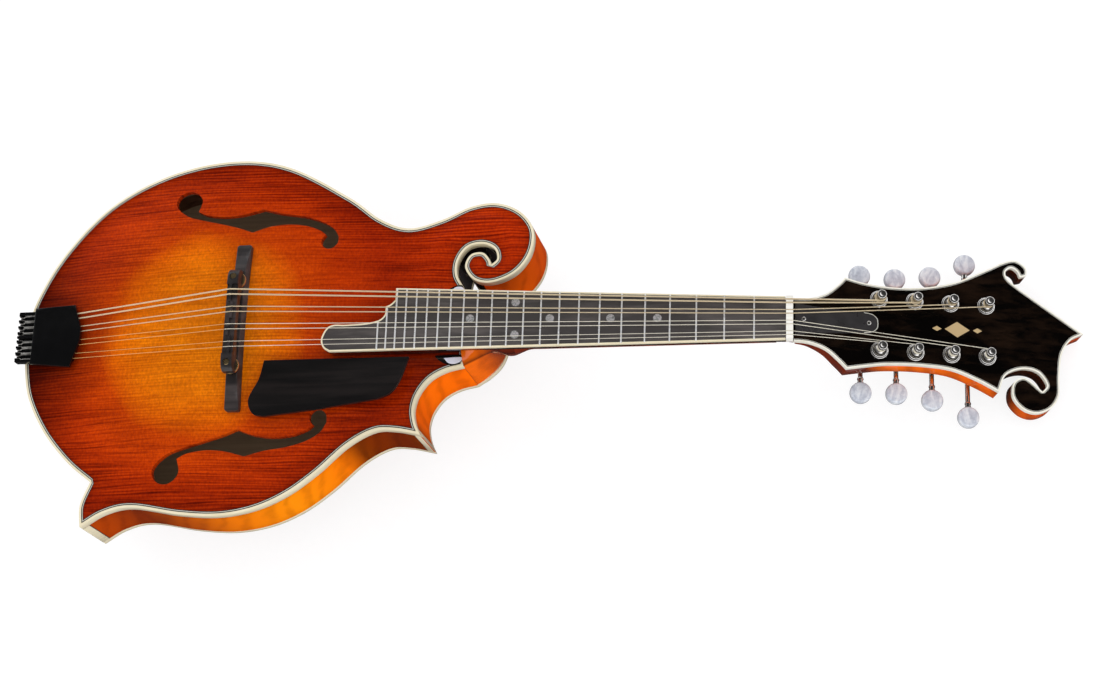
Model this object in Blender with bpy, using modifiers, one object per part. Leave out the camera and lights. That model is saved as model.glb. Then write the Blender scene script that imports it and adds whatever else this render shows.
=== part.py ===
"""Scroll-bodied mandolin, built up from its separate wooden, metal and bone pieces.

All sizes are in millimetres and are turned into metres as each mesh is made.
+X runs from the tail to the headstock, +Y to the bass side, +Z out of the soundboard.
The origin is the centre of the strap button's flat outer face, at mid rib height.
Distances called "station" are measured from the tail end of the body along the centre line.
Distances called "reach" are measured from the nut along the fretboard towards the body.
"""

import math

import bmesh
import bpy
import numpy as np
from mathutils import Matrix, Vector

MM = 0.001
GAP = 0.15

# Body
BUTTON_LENGTH = 12.0
RIM_TOP = 22.2
RIM_BOTTOM = -RIM_TOP
PLATE = 4.0
TOP_ARCH = 13.0
BACK_ARCH = 12.0
RIB = 2.0
BINDING_WIDTH = 1.6
BINDING_DEPTH = 6.0
BACK_BINDING_DEPTH = 4.2
LINING_WIDTH = 4.6
LINING_DEPTH = 8.0
JOINT_STATION = 302.0
HEEL_STATION = 322.0
OUTLINE_STEPS = 2
ARCH_POWER = 1.2
FIELD_CELL = 2.5
PLATE_CELL = 18.0
SKY = 90.0
GROUND = 0.0
HEAD_BLOCK_STATION = 240.0
TAIL_BLOCK_STATION = 26.0
TAIL_BLOCK_HALF = 32.0
TONE_BAR_SKEW = 4.0
PIN_RADIUS = 3.0

# Neck, fretboard and strings
NUT_STATION = 507.0
NUT_X = NUT_STATION + BUTTON_LENGTH
NUT_Z = RIM_TOP - 9.2
NECK_ANGLE = math.radians(6.0)
HEAD_ANGLE = math.radians(17.0)
SCALE_LENGTH = 352.4
FRET_COUNT = 23
FULL_FRETS = 21
FRET_INSET = 1.4
PARTIAL_FRETS = {22: 7.2, 23: -2.2}
NUT_WIDTH = 28.6
BOARD_FLARE = 0.0536
BOARD_THICKNESS = 5.0
BOARD_END = 248.6
EXTENSION_END = 289.8
NUT_THICKNESS = 4.6
NUT_HEIGHT = 1.3
NECK_DEPTH_NUT = 12.0
NECK_DEPTH_HEEL = 14.5

# Headstock
FACE_DROP = 4.0
FACE_START = 5.0
VENEER = 3.0
HEAD_BINDING = 1.4
ROD_LENGTH = 185.0
ROD_DEPTH = -10.2
HEAD_THICKNESS = 14.0
POST_ROWS = (54.0, 77.0, 100.0, 123.0)
POST_SIDE = 17.0
POST_RADIUS = 3.1
POST_TOP = 10.9
FERRULE_RADIUS = 5.8
FERRULE_HEIGHT = 1.6
TUNER_PLATE = 1.2
GEAR_TEETH = 14
GEAR_RADIUS = 5.2
GEAR_THICKNESS = 3.0
WORM_OFFSET = 8.0
WORM_RADIUS = 2.5
SHAFT_RADIUS = 1.5
WINDING_TOP = 7.4
WINDING_LOW = 3.8
WINDING_TURNS = 2
WINDING_STEPS = 8
WORM_DROP = 4.6
DRIVE_LEVEL = -HEAD_THICKNESS - TUNER_PLATE - WORM_DROP
BUTTON_RADIUS = 6.9
BUTTON_THICKNESS = 6.2
BUTTON_REACH = (22.4, 21.6, 24.6, 34.5)

# Bridge and tailpiece
BRIDGE_STATION = 153.5
BASE_TOP = 18.5
BRIDGE_SPAN = 114.0
BRIDGE_WIDTH = 9.6
STRING_HEIGHT = RIM_TOP + 31.0
SADDLE_SPAN = 69.5
SADDLE_WIDTH = 7.5
BRIDGE_POST_SIDE = 29.3
BRIDGE_POST_RADIUS = 2.0
THUMBWHEEL_RADIUS = 5.6
THUMBWHEEL_THICKNESS = 1.6
THUMBWHEEL_LIFT = 1.5
COMPENSATION = (-0.9, 0.7, -0.9, 0.7)
COURSE_EDGE = (0, 11.6, 0, -11.6)
TAILPIECE_FRONT = 42.8
TAILPIECE_FLOOR = RIM_TOP + 6.6
COVER_TOP = RIM_TOP + 11.4
COMB_STATION = -2.4
TOOTH_THICKNESS = 1.4
HOOK_SPACING = 4.2
PICKGUARD_LIFT = 13.6
PICKGUARD_THICKNESS = 2.4

# Eight strings: name and radius, from the bass side
STRINGS = (
    ("g_outer", 0.51), ("g_inner", 0.51), ("d_outer", 0.32), ("d_inner", 0.32),
    ("a_inner", 0.19), ("a_outer", 0.19), ("e_inner", 0.15), ("e_outer", 0.15),
)
COURSE_SIGNS = (1.5, 1.5, 0.5, 0.5, -0.5, -0.5, -1.5, -1.5)
PAIR_SIGNS = (1, -1, 1, -1, 1, -1, 1, -1)
TUNER_ORDER = ((1, 0), (1, 1), (1, 2), (1, 3), (-1, 3), (-1, 2), (-1, 1), (-1, 0))

MATERIALS = {
    "spruce": ((0.62, 0.22, 0.05), 0.25, 0.0),
    "maple": ((0.70, 0.24, 0.04), 0.25, 0.0),
    "inner_spruce": ((0.80, 0.66, 0.44), 0.6, 0.0),
    "mahogany": ((0.42, 0.20, 0.10), 0.6, 0.0),
    "neck_maple": ((0.40, 0.11, 0.04), 0.3, 0.0),
    "cream_binding": ((0.90, 0.85, 0.70), 0.35, 0.0),
    "ebony": ((0.03, 0.025, 0.022), 0.35, 0.0),
    "fretboard_ebony": ((0.06, 0.055, 0.055), 0.45, 0.0),
    "bone": ((0.93, 0.91, 0.83), 0.4, 0.0),
    "nickel": ((0.80, 0.78, 0.74), 0.25, 1.0),
    "black_metal": ((0.02, 0.02, 0.022), 0.3, 0.8),
    "brass": ((0.78, 0.60, 0.30), 0.3, 1.0),
    "pearloid": ((0.85, 0.87, 0.90), 0.2, 0.0),
    "steel": ((0.62, 0.62, 0.63), 0.3, 1.0),
    "bronze_wound": ((0.80, 0.58, 0.42), 0.35, 1.0),
    "black_plastic": ((0.03, 0.03, 0.03), 0.3, 0.0),
}

BODY_FRAME = Matrix.Translation(Vector((BUTTON_LENGTH, 0, 0)) * MM)
NECK_FRAME = Matrix.Translation(Vector((NUT_X, 0, NUT_Z)) * MM) @ Matrix.Rotation(NECK_ANGLE, 4, "Y")
HEAD_FRAME = Matrix.Translation(
    Vector((NUT_X + FACE_START, 0, NUT_Z - FACE_DROP)) * MM
) @ Matrix.Rotation(HEAD_ANGLE, 4, "Y")

# ---------------------------------------------------------------- outlines


def smooth(knots, steps=OUTLINE_STEPS):
    """A curve through the knots, with each span cut into the given number of steps."""
    points = [Vector(knot) for knot in knots]
    padded = [2 * points[0] - points[1]] + points + [2 * points[-1] - points[-2]]
    path = []
    for before, start, end, after in zip(padded, padded[1:], padded[2:], padded[3:]):
        for step in range(steps):
            t = step / steps
            pull = (end - before) * t + (2 * before - 5 * start + 4 * end - after) * t ** 2
            pull += (3 * start - before - 3 * end + after) * t ** 3
            path.append(start + pull / 2)
    path.append(points[-1])
    return path


def body_sections():
    """The body's edge, seen from the front, as smooth runs that meet in corners."""
    bass = smooth([
        (0, 0), (3.6, 27), (20.8, 61.5), (51, 95), (91, 116), (136, 123.7), (176, 117),
        (219, 93), (241, 76.5), (261, 69), (283, 73.8), (302, 82), (319, 83.8), (334, 78),
        (343.5, 67), (345, 55), (341, 43), (332, 33.5), (318, 28.5), (306.5, 31),
        (300.2, 40), (303.5, 48.4), (311.5, 49.6), (316.4, 44.5), (317.4, 40.8),
    ])
    slot = smooth([
        (317.4, 40.8), (321.3, 45), (319, 52), (311, 55.6), (301.5, 53.6), (295.6, 45),
        (295.2, 35), (300, 26), (JOINT_STATION, 21.5),
    ])
    joint = [Vector((JOINT_STATION, 21.5)), Vector((JOINT_STATION, -27.5))]
    cutaway = smooth([
        (JOINT_STATION, -27.5), (290.5, -30.2), (280.6, -35.7), (273.8, -44.6),
        (271, -54.5), (272.3, -64), (276, -72.5),
    ])
    waist = smooth([
        (276, -72.5), (259, -69), (245, -69.3), (228, -78.6), (209, -95.8), (190, -109.6),
        (169, -118.8), (145, -122.8), (118, -121.2), (86, -116), (67, -119.5), (51.5, -128.5),
    ])
    point = smooth([(51.5, -128.5), (50.2, -114), (55.6, -98.5)])
    tail = smooth([(55.6, -98.5), (38, -84.6), (19.6, -64), (6, -40), (0.8, -18), (0, 0)])
    return [bass, slot, joint, cutaway, waist, point, tail]


def headstock_sections():
    """The headstock's edge in its own frame: along from the nut, and across to the bass side."""
    bass_flare = smooth([(1, 14.3), (10, 15), (20, 18.6), (28, 25.3), (32.6, 30.4)])
    bass_side = smooth([
        (32.6, 30.4), (46, 27.3), (63, 25.8), (82, 26.8), (103, 31.8), (123, 41.3),
        (135, 47.6), (143, 49.4), (149.5, 45.2), (150, 39.8), (145.6, 38),
    ])
    bass_hook = smooth([(145.6, 38), (143.8, 42), (140, 44), (136.4, 41), (138, 36), (145.5, 29.9)])
    brow = [Vector((145.5, 29.9)), Vector((185.5, 2.2))]
    treble_scroll = smooth([
        (185.5, 2.2), (177, -2.6), (171, -12.5), (169, -27), (168.2, -39.5), (163, -48.2),
        (154, -52.4), (145, -50.3), (138.6, -42.6), (139.4, -33), (147, -29.5), (157.7, -37.8),
    ])
    treble_slot = smooth([
        (157.7, -37.8), (160.6, -33), (155, -25.2), (145, -23.6), (134.5, -28.4), (129.7, -39.6),
    ])
    treble_side = smooth([
        (129.7, -39.6), (117, -33.2), (100, -27), (80, -25.4), (60, -26), (46, -28), (33, -30.4),
    ])
    treble_flare = smooth([(33, -30.4), (28, -25.3), (20, -18.6), (10, -15), (1, -14.3)])
    heel = [Vector((1, -14.3)), Vector((1, 14.3))]
    return [
        bass_flare, bass_side, bass_hook, brow, treble_scroll, treble_slot, treble_side,
        treble_flare, heel,
    ]


def f_hole_outline(side):
    """One f-shaped sound hole; side is +1 for the bass hole and -1 for the treble hole."""
    outer_low = smooth([(116, 85.9), (121.7, 83.1), (129, 81.6), (138, 81), (149, 82.1), (161.6, 85.4)])
    outer_high = smooth([(161.6, 85.4), (174, 82), (189, 79.5), (201.5, 75.6), (210.5, 70), (214.6, 64)])
    eye_high = smooth([
        (214.6, 64), (214.5, 59.2), (211.4, 55.4), (207.2, 55), (204, 58), (203.7, 62), (205.9, 65.3),
    ])
    inner_high = smooth([(205.9, 65.3), (201.5, 68.6), (192, 72.1), (180, 73.3), (168, 72), (156, 68)])
    inner_low = smooth([(156, 68), (146, 71.8), (132, 75.8), (119, 79.3), (110, 82.2), (103, 86.8)])
    eye_low = smooth([
        (103, 86.8), (99.3, 91.8), (99.7, 97.4), (103.9, 101.2), (109.9, 101.7), (115.2, 98.4),
        (117.6, 93.4), (116, 85.9),
    ])
    runs = [outer_low, outer_high, eye_high, inner_high, inner_low, eye_low]
    return [Vector((p.x, side * p.y)) for run in runs for p in run[:-1]]


def crossing(a, b, c, d):
    """Where segment a-b crosses segment c-d, or None."""
    along = b - a
    other = d - c
    turn = along.cross(other)
    if abs(turn) < 1e-9:
        return None
    t = (c - a).cross(other) / turn
    s = (c - a).cross(along) / turn
    if 0 <= t <= 1 and 0 <= s <= 1:
        return a + along * t
    return None


def trimmed(first, second):
    """Cut two runs where the first crosses the second, so that they meet in one corner."""
    for i in range(len(first) - 1, 0, -1):
        for j in range(len(second) - 1):
            corner = crossing(first[i - 1], first[i], second[j], second[j + 1])
            if corner is not None:
                return first[:i] + [corner], [corner] + second[j + 1:]
    return first, second


def inset(sections, distance):
    """Every run moved inwards by a distance, and cut again where neighbours meet."""
    moved = []
    for section in sections:
        run = []
        for index, point in enumerate(section):
            before = section[max(index - 1, 0)]
            after = section[min(index + 1, len(section) - 1)]
            along = (after - before).normalized()
            run.append(point + Vector((along.y, -along.x)) * distance)
        moved.append(run)
    for index in range(len(moved)):
        following = (index + 1) % len(moved)
        moved[index], moved[following] = trimmed(moved[index], moved[following])
    return moved


def loop(sections):
    """One closed loop of points through all the runs, without repeats."""
    points = []
    for section in sections:
        for point in section:
            if not points or (point - points[-1]).length > 0.02:
                points.append(point)
    if (points[0] - points[-1]).length < 0.02:
        points.pop()
    return points


BODY = body_sections()
HEADSTOCK = headstock_sections()


def back_sections():
    """The back's edge: as the body's, with a round button that carries the neck's heel."""
    bass, slot, joint, cutaway, waist, point, tail = body_sections()
    button = smooth([
        (JOINT_STATION, 21.5), (311, 19.5), (318.5, 12.5), (HEEL_STATION, 0), (318.5, -13),
        (311, -21.5), (JOINT_STATION, -27.5),
    ])
    return [bass, slot, button, cutaway, waist, point, tail]


# ---------------------------------------------------------------- arching


def inside(x, y, outline):
    """Which of the points x, y lie inside a closed outline."""
    hit = np.zeros(x.shape, bool)
    for a, b in zip(outline, outline[1:] + outline[:1]):
        spans = (a.y > y) != (b.y > y)
        if a.y != b.y:
            hit ^= spans & (x < (b.x - a.x) * (y - a.y) / (b.y - a.y) + a.x)
    return hit


def arch_field():
    """Height of the carved arch, as the shape of a skin blown up over the body's edge."""
    edge = loop(inset(BODY, 4.0))
    xs = np.arange(0, 350 + FIELD_CELL, FIELD_CELL)
    ys = np.arange(-135, 130 + FIELD_CELL, FIELD_CELL)
    grid_x, grid_y = np.meshgrid(xs, ys, indexing="ij")
    wood = inside(grid_x, grid_y, edge)
    height = np.zeros(grid_x.shape)
    for _ in range(5000):
        around = height[:-2, 1:-1] + height[2:, 1:-1] + height[1:-1, :-2] + height[1:-1, 2:]
        height[1:-1, 1:-1] = np.where(wood[1:-1, 1:-1], around / 4 + 1, 0)
    return xs, ys, (height / height.max()) ** ARCH_POWER


FIELD_X, FIELD_Y, FIELD = arch_field()


def arch(x, y):
    """Arch height at a station and a distance across, from 0 at the rim to 1 at the crown."""
    column = min(max((x - FIELD_X[0]) / FIELD_CELL, 0), len(FIELD_X) - 1.001)
    row = min(max((y - FIELD_Y[0]) / FIELD_CELL, 0), len(FIELD_Y) - 1.001)
    i, j = int(column), int(row)
    u, v = column - i, row - j
    low = FIELD[i, j] * (1 - v) + FIELD[i, j + 1] * v
    high = FIELD[i + 1, j] * (1 - v) + FIELD[i + 1, j + 1] * v
    return low * (1 - u) + high * u


# ---------------------------------------------------------------- modelling tools


def clear_scene():
    """Start from an empty file."""
    for item in list(bpy.data.objects):
        bpy.data.objects.remove(item)


def material(name):
    """A plain Principled material from the table."""
    if name in bpy.data.materials:
        return bpy.data.materials[name]
    colour, roughness, metallic = MATERIALS[name]
    made = bpy.data.materials.new(name)
    made.use_nodes = True
    shader = made.node_tree.nodes["Principled BSDF"]
    shader.inputs["Base Color"].default_value = (*colour, 1)
    shader.inputs["Roughness"].default_value = roughness
    shader.inputs["Metallic"].default_value = metallic
    return made


def as_object(name, mesh, frame=None):
    """A new object on the work bench."""
    made = bpy.data.objects.new(name, mesh)
    bpy.context.scene.collection.objects.link(made)
    if frame is not None:
        made.matrix_world = frame
    bpy.context.view_layer.update()
    return made


def baked(item):
    """Turn a curve, or a mesh with modifiers, into a plain mesh object."""
    view = bpy.context.evaluated_depsgraph_get()
    mesh = bpy.data.meshes.new_from_object(item.evaluated_get(view))
    work = bmesh.new()
    work.from_mesh(mesh)
    bmesh.ops.remove_doubles(work, verts=work.verts, dist=0.002 * MM)
    bmesh.ops.dissolve_degenerate(work, dist=0.001 * MM, edges=work.edges)
    bmesh.ops.recalc_face_normals(work, faces=work.faces)
    work.to_mesh(mesh)
    work.free()
    frame = item.matrix_world.copy()
    name = item.name
    bpy.data.objects.remove(item)
    return as_object(name, mesh, frame)


def prism(name, outlines, low, high, frame=BODY_FRAME):
    """Flat outlines filled and raised from low to high; an outline inside another is a hole."""
    curve = bpy.data.curves.new(name, "CURVE")
    curve.dimensions = "2D"
    curve.fill_mode = "BOTH"
    curve.extrude = (high - low) / 2 * MM
    for outline in outlines:
        spline = curve.splines.new("POLY")
        spline.points.add(len(outline) - 1)
        for knot, point in zip(spline.points, outline):
            knot.co = (point[0] * MM, point[1] * MM, 0, 1)
        spline.use_cyclic_u = True
    lift = Matrix.Translation(Vector((0, 0, (low + high) / 2 * MM)))
    return baked(as_object(name, curve, frame @ lift))


def box(name, low, high, frame=BODY_FRAME):
    """A block between two corners."""
    work = bmesh.new()
    size = Vector(high) - Vector(low)
    middle = (Vector(high) + Vector(low)) / 2
    place = Matrix.Translation(middle * MM) @ Matrix.Diagonal((*(size * MM), 1))
    bmesh.ops.create_cube(work, size=1, matrix=place)
    mesh = bpy.data.meshes.new(name)
    work.to_mesh(mesh)
    work.free()
    return as_object(name, mesh, frame)


def bore(name, radius, low, high, frame, sides=12):
    """A round cutter along the frame's Z, whose flats stand outside the radius."""
    return cylinder(name, radius / math.cos(math.pi / sides), low, high, frame, sides)


def cylinder(name, radius, low, high, frame, sides=12):
    """A round rod along the frame's Z."""
    work = bmesh.new()
    place = Matrix.Translation(Vector((0, 0, (low + high) / 2 * MM)))
    bmesh.ops.create_cone(
        work, cap_ends=True, segments=sides, radius1=radius * MM, radius2=radius * MM,
        depth=(high - low) * MM, matrix=place,
    )
    mesh = bpy.data.meshes.new(name)
    work.to_mesh(mesh)
    work.free()
    return as_object(name, mesh, frame)


def turned(name, profile, frame, sides=16):
    """A piece turned about the frame's Z; the profile runs down its outer side."""
    mesh = bpy.data.meshes.new(name)
    points = [(radius * MM, 0, height * MM) for radius, height in profile]
    edges = [(index, index + 1) for index in range(len(points) - 1)]
    mesh.from_pydata(points, edges, [])
    item = as_object(name, mesh, frame)
    screw = item.modifiers.new("turn", "SCREW")
    screw.axis = "Z"
    screw.steps = sides
    screw.render_steps = sides
    screw.use_merge_vertices = True
    screw.merge_threshold = 0.00001
    return baked(item)


def wire(name, points, radius, frame=None, resolution=1):
    """A round wire through points, with closed ends."""
    curve = bpy.data.curves.new(name, "CURVE")
    curve.dimensions = "3D"
    curve.bevel_depth = radius * MM
    curve.bevel_resolution = resolution
    curve.use_fill_caps = True
    spline = curve.splines.new("POLY")
    spline.points.add(len(points) - 1)
    for knot, point in zip(spline.points, points):
        knot.co = (point[0] * MM, point[1] * MM, point[2] * MM, 1)
    return baked(as_object(name, curve, frame))


def loft(name, sections, frame=None):
    """A skin drawn over closed sections that all have the same number of points."""
    work = bmesh.new()
    rings = [[work.verts.new(Vector(p) * MM) for p in section] for section in sections]
    for ring, following in zip(rings, rings[1:]):
        count = len(ring)
        for index in range(count):
            after = (index + 1) % count
            work.faces.new((ring[index], ring[after], following[after], following[index]))
    work.faces.new(rings[0])
    work.faces.new(rings[-1])
    bmesh.ops.recalc_face_normals(work, faces=work.faces)
    mesh = bpy.data.meshes.new(name)
    work.to_mesh(mesh)
    work.free()
    return as_object(name, mesh, frame)


def combine(target, tool, operation):
    """Cut, join or clip one solid with another, which is used up."""
    change = target.modifiers.new(operation, "BOOLEAN")
    change.operation = operation
    change.solver = "EXACT"
    change.object = tool
    bpy.context.view_layer.update()
    result = baked(target)
    bpy.data.objects.remove(tool)
    return result


def arched_slab(name, facing, arch_height, lower=None, upper=None):
    """A wide slab between two offsets from the carved arch; None gives a flat face well clear."""
    work = bmesh.new()
    xs = np.linspace(-8, 356, int(364 / PLATE_CELL) + 1)
    ys = np.linspace(-136, 132, int(268 / PLATE_CELL) + 1)
    rows = [[work.verts.new((x, y, 0)) for y in ys] for x in xs]
    for row, following in zip(rows, rows[1:]):
        for a, b, c, d in zip(row, following, following[1:], row[1:]):
            work.faces.new((a, b, c))
            work.faces.new((a, c, d))
    raised = bmesh.ops.extrude_face_region(work, geom=list(work.faces))
    top_side = {v for v in raised["geom"] if isinstance(v, bmesh.types.BMVert)}
    for vertex in work.verts:
        x, y = vertex.co.x, vertex.co.y
        surface = RIM_TOP + arch(x, y) * arch_height
        if vertex in top_side:
            level = SKY if upper is None else surface + upper
        else:
            level = GROUND if lower is None else surface + lower
        vertex.co = Vector((x, y, facing * level)) * MM
    bmesh.ops.recalc_face_normals(work, faces=work.faces)
    mesh = bpy.data.meshes.new(name)
    work.to_mesh(mesh)
    work.free()
    return as_object(name, mesh, BODY_FRAME)


def shortened(path, amount):
    """A run with a little taken off both ends."""
    first = path[0] + (path[1] - path[0]).normalized() * amount
    last = path[-1] + (path[-2] - path[-1]).normalized() * amount
    return [first] + path[1:-1] + [last]


def ribbon(name, wanted, near, far, low, high):
    """A bent strip that follows the chosen runs of the body's edge between two insets."""
    outer = inset(BODY, near) if near else BODY
    inner = inset(BODY, far)
    outer_path = shortened(loop_open([outer[i] for i in wanted]), GAP)
    inner_path = shortened(loop_open([inner[i] for i in wanted]), GAP)
    return prism(name, [outer_path + inner_path[::-1]], low, high)


def loop_open(sections):
    """Runs joined end to end into one open path, without repeats."""
    points = []
    for section in sections:
        for point in section:
            if not points or (point - points[-1]).length > 0.02:
                points.append(point)
    return points


def finish(item, name, slot, is_round=False):
    """Name a piece, give it its material and put it into the instrument's collection."""
    item.name = name
    item.data.name = name
    item.data.materials.clear()
    item.data.materials.append(material(slot))
    if is_round:
        item.data.shade_smooth()
        item.data.set_sharp_from_angle(angle=math.radians(40))
    bpy.context.scene.collection.objects.unlink(item)
    bpy.data.collections["mandolin"].objects.link(item)
    return item


# ---------------------------------------------------------------- the body


def plates():
    """The carved spruce soundboard with its two sound holes, and the carved maple back."""
    board = arched_slab("soundboard", 1, TOP_ARCH, -PLATE, 0)
    edge = loop(inset(BODY, BINDING_WIDTH + GAP))
    board = combine(board, prism("edge", [edge], 0, SKY), "INTERSECT")
    for side in (1, -1):
        board = combine(board, prism("hole", [f_hole_outline(side)], 0, SKY), "DIFFERENCE")
    finish(board, "soundboard", "spruce", True)

    back = arched_slab("back_plate", -1, BACK_ARCH, -PLATE, 0)
    edge = loop(inset(back_sections(), BINDING_WIDTH + GAP))
    back = combine(back, prism("edge", [edge], -SKY, 0), "INTERSECT")
    finish(back, "back_plate", "maple", True)


def bindings():
    """The cream strips let into the two rims."""
    inner = loop(inset(BODY, BINDING_WIDTH))
    strip = prism("binding_top", [loop(BODY), inner], RIM_TOP - BINDING_DEPTH, RIM_TOP)
    finish(strip, "binding_top", "cream_binding", True)
    inner = loop(inset(back_sections(), BINDING_WIDTH))
    outer = loop(back_sections())
    strip = prism("binding_back", [outer, inner], RIM_BOTTOM, RIM_BOTTOM + BACK_BINDING_DEPTH)
    finish(strip, "binding_back", "cream_binding", True)


def ribs_and_linings():
    """Four bent maple ribs, and the two horseshoe linings that carry the plates."""
    low = RIM_BOTTOM + BACK_BINDING_DEPTH + GAP
    high = RIM_TOP - BINDING_DEPTH - GAP
    runs = {"rib_bass": (0, 1), "rib_cutaway": (3,), "rib_waist": (4,), "rib_treble": (5, 6)}
    for name, wanted in runs.items():
        rib = ribbon(name, wanted, 0, RIB, low, high)
        if name in ("rib_bass", "rib_treble"):
            rib = combine(rib, pin_cutter(), "DIFFERENCE")
        finish(rib, name, "maple", True)
    near = RIB + GAP
    outer = inset(BODY, near)
    inner = inset(BODY, near + LINING_WIDTH)
    edges = (("lining_top", RIM_TOP - PLATE, 1), ("lining_back", RIM_BOTTOM + PLATE, -1))
    for name, edge, facing in edges:
        far = edge - facing * LINING_DEPTH
        near_level = edge - facing * GAP
        ring = prism(name, [loop(outer), loop(inner)], min(far, near_level), max(far, near_level))
        clear = box("clear", (HEAD_BLOCK_STATION - GAP, -140, -SKY), (360, 140, SKY))
        ring = combine(ring, clear, "DIFFERENCE")
        finish(ring, name, "mahogany")


def pin_cutter():
    """The hole for the strap button's pin."""
    frame = Matrix.Rotation(math.radians(90), 4, "Y")
    return bore("pin_hole", PIN_RADIUS + GAP, BUTTON_LENGTH - 2, BUTTON_LENGTH + 40, frame)


def fitted_between_plates(item):
    """Trim a block to the undersides of the soundboard and the back."""
    above = arched_slab("above", 1, TOP_ARCH, -PLATE - GAP, None)
    item = combine(item, above, "DIFFERENCE")
    below = arched_slab("below", -1, BACK_ARCH, -PLATE - GAP, None)
    return combine(item, below, "DIFFERENCE")


def blocks():
    """The head block with the scroll's core, the tail block and the two point blocks."""
    core = loop(inset(BODY, RIB + GAP))
    inside_lining = loop(inset(BODY, RIB + LINING_WIDTH + 3 * GAP))
    between = RIM_TOP - PLATE - LINING_DEPTH - GAP

    head = prism("head_block", [core], -SKY, SKY)
    reach = box("reach", (HEAD_BLOCK_STATION, -140, -60), (360, 140, 60))
    head = combine(head, reach, "INTERSECT")
    head = combine(head, box("point", (230, -140, -60), (290, -61.5, 60)), "DIFFERENCE")
    finish(fitted_between_plates(head), "head_block", "mahogany")

    tail = prism("tail_block", [core], -between, between)
    reach = box("reach", (-5, -TAIL_BLOCK_HALF, -60), (TAIL_BLOCK_STATION, TAIL_BLOCK_HALF, 60))
    tail = combine(tail, reach, "INTERSECT")
    tall = prism("tall", [inside_lining], -60, 60)
    reach = box("reach", (-5, 1 - TAIL_BLOCK_HALF, -50), (TAIL_BLOCK_STATION - 1, TAIL_BLOCK_HALF - 1, 50))
    tail = combine(tail, combine(tall, reach, "INTERSECT"), "UNION")
    tail = combine(fitted_between_plates(tail), pin_cutter(), "DIFFERENCE")
    finish(tail, "tail_block", "mahogany")

    for name, low, high in (
        ("point_block_lower", (40, -140, -60), (75, -112, 60)),
        ("point_block_mid", (250, -90, -60), (282, -62, 60)),
    ):
        block = prism(name, [core], -between, between)
        block = combine(block, box("reach", low, high), "INTERSECT")
        finish(block, name, "mahogany")


def tone_bars():
    """Two long braces glued under the soundboard beside the bridge."""
    for name, side in (("tone_bar_bass", 1), ("tone_bar_treble", -1)):
        frame = BODY_FRAME @ Matrix.Translation(Vector((150, side * 27, 0)) * MM)
        frame = frame @ Matrix.Rotation(math.radians(-side * TONE_BAR_SKEW), 4, "Z")
        bar = box(name, (-78, -3, RIM_TOP - 3), (78, 3, RIM_TOP + 30), frame)
        above = arched_slab("above", 1, TOP_ARCH, -PLATE - GAP, None)
        finish(combine(bar, above, "DIFFERENCE"), name, "inner_spruce")


# ---------------------------------------------------------------- neck and headstock


def board_half_width(reach):
    """Half the fretboard's width at a distance from the nut."""
    return (NUT_WIDTH + BOARD_FLARE * reach) / 2


def neck_section(station, top, bottom, bass_width, bass_foot, treble_foot, squareness):
    """A cross-section of the neck: flat on top, round or square below."""
    x = station + BUTTON_LENGTH
    sides = []
    for sign, foot in ((1, bass_foot), (-1, treble_foot)):
        side = []
        for fraction in (0, 0.35, 0.65, 0.88, 1.0):
            width = bass_width + (foot - bass_width) * fraction
            width *= math.sqrt(1.0001 - (fraction * squareness) ** 2)
            side.append((x, sign * max(width, 0.4), top + (bottom - top) * fraction))
        sides.append(side)
    return sides[0] + sides[1][::-1]


def neck_top(station):
    """Height of the neck's glueing face under the fretboard."""
    reach = (NUT_STATION - station) / math.cos(NECK_ANGLE)
    return NUT_Z + reach * math.sin(NECK_ANGLE) - (BOARD_THICKNESS + GAP) / math.cos(NECK_ANGLE)


def neck():
    """The maple neck: heel, shaft and headstock in one piece."""
    foot = RIM_BOTTOM + BACK_BINDING_DEPTH + GAP
    heel = (
        (JOINT_STATION + GAP, foot, 20.8, 26.5, 0.5), (306.5, foot, 20.2, 24.0, 0.5),
        (311, foot, 18.8, 20.8, 0.5), (315, foot, 15.8, 17, 0.55), (318.5, foot + 0.2, 11.8, 12, 0.6),
        (321.5, foot + 1.2, 6.5, 6.5, 0.8), (324, foot + 7, 8, 8, 0.95),
        (328, 0, 12, 12, 1), (334, 5.6, 15, 15, 1), (343, 9, 17, 17, 1),
    )
    sections = []
    for station, bottom, bass_foot, treble_foot, squareness in heel:
        width = board_half_width(NUT_STATION - station) - 0.4
        section = neck_section(
            station, neck_top(station), bottom, width, bass_foot, treble_foot, squareness)
        sections.append(section)
    for station in (355, 385, 420, 455, 485, 500, NUT_STATION + NUT_THICKNESS):
        width = board_half_width(NUT_STATION - station) - 0.4
        run = (NUT_STATION - station) / (NUT_STATION - 355)
        depth = NECK_DEPTH_NUT + (NECK_DEPTH_HEEL - NECK_DEPTH_NUT) * run
        top = neck_top(station)
        sections.append(neck_section(station, top, top - depth, width, width, width, 1))
    for along, sunk in ((NUT_THICKNESS + 0.3, 0), (FACE_START + 9, 1)):
        top = NUT_Z - FACE_DROP - VENEER - 1.2 - (along - FACE_START) * math.tan(HEAD_ANGLE)
        station = NUT_STATION + along
        depth = NECK_DEPTH_NUT - 2 - sunk * 2.5
        sections.append(neck_section(station, top, top - depth, 13.6, 13.6, 13.6, 1))
    shaft = loft("neck", sections)
    slab = prism("slab", [loop(HEADSTOCK)], -HEAD_THICKNESS, -VENEER - GAP, HEAD_FRAME)
    whole = combine(shaft, slab, "UNION")
    channel = box("channel", (-ROD_LENGTH - 6, -3.2, -15), (8, 3.2, 5), NECK_FRAME)
    whole = combine(whole, channel, "DIFFERENCE")
    whole = combine(whole, rod_pocket(), "DIFFERENCE")
    whole = combine(whole, post_cutters(POST_RADIUS + 0.5), "DIFFERENCE")
    finish(whole, "neck", "neck_maple", True)


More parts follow.
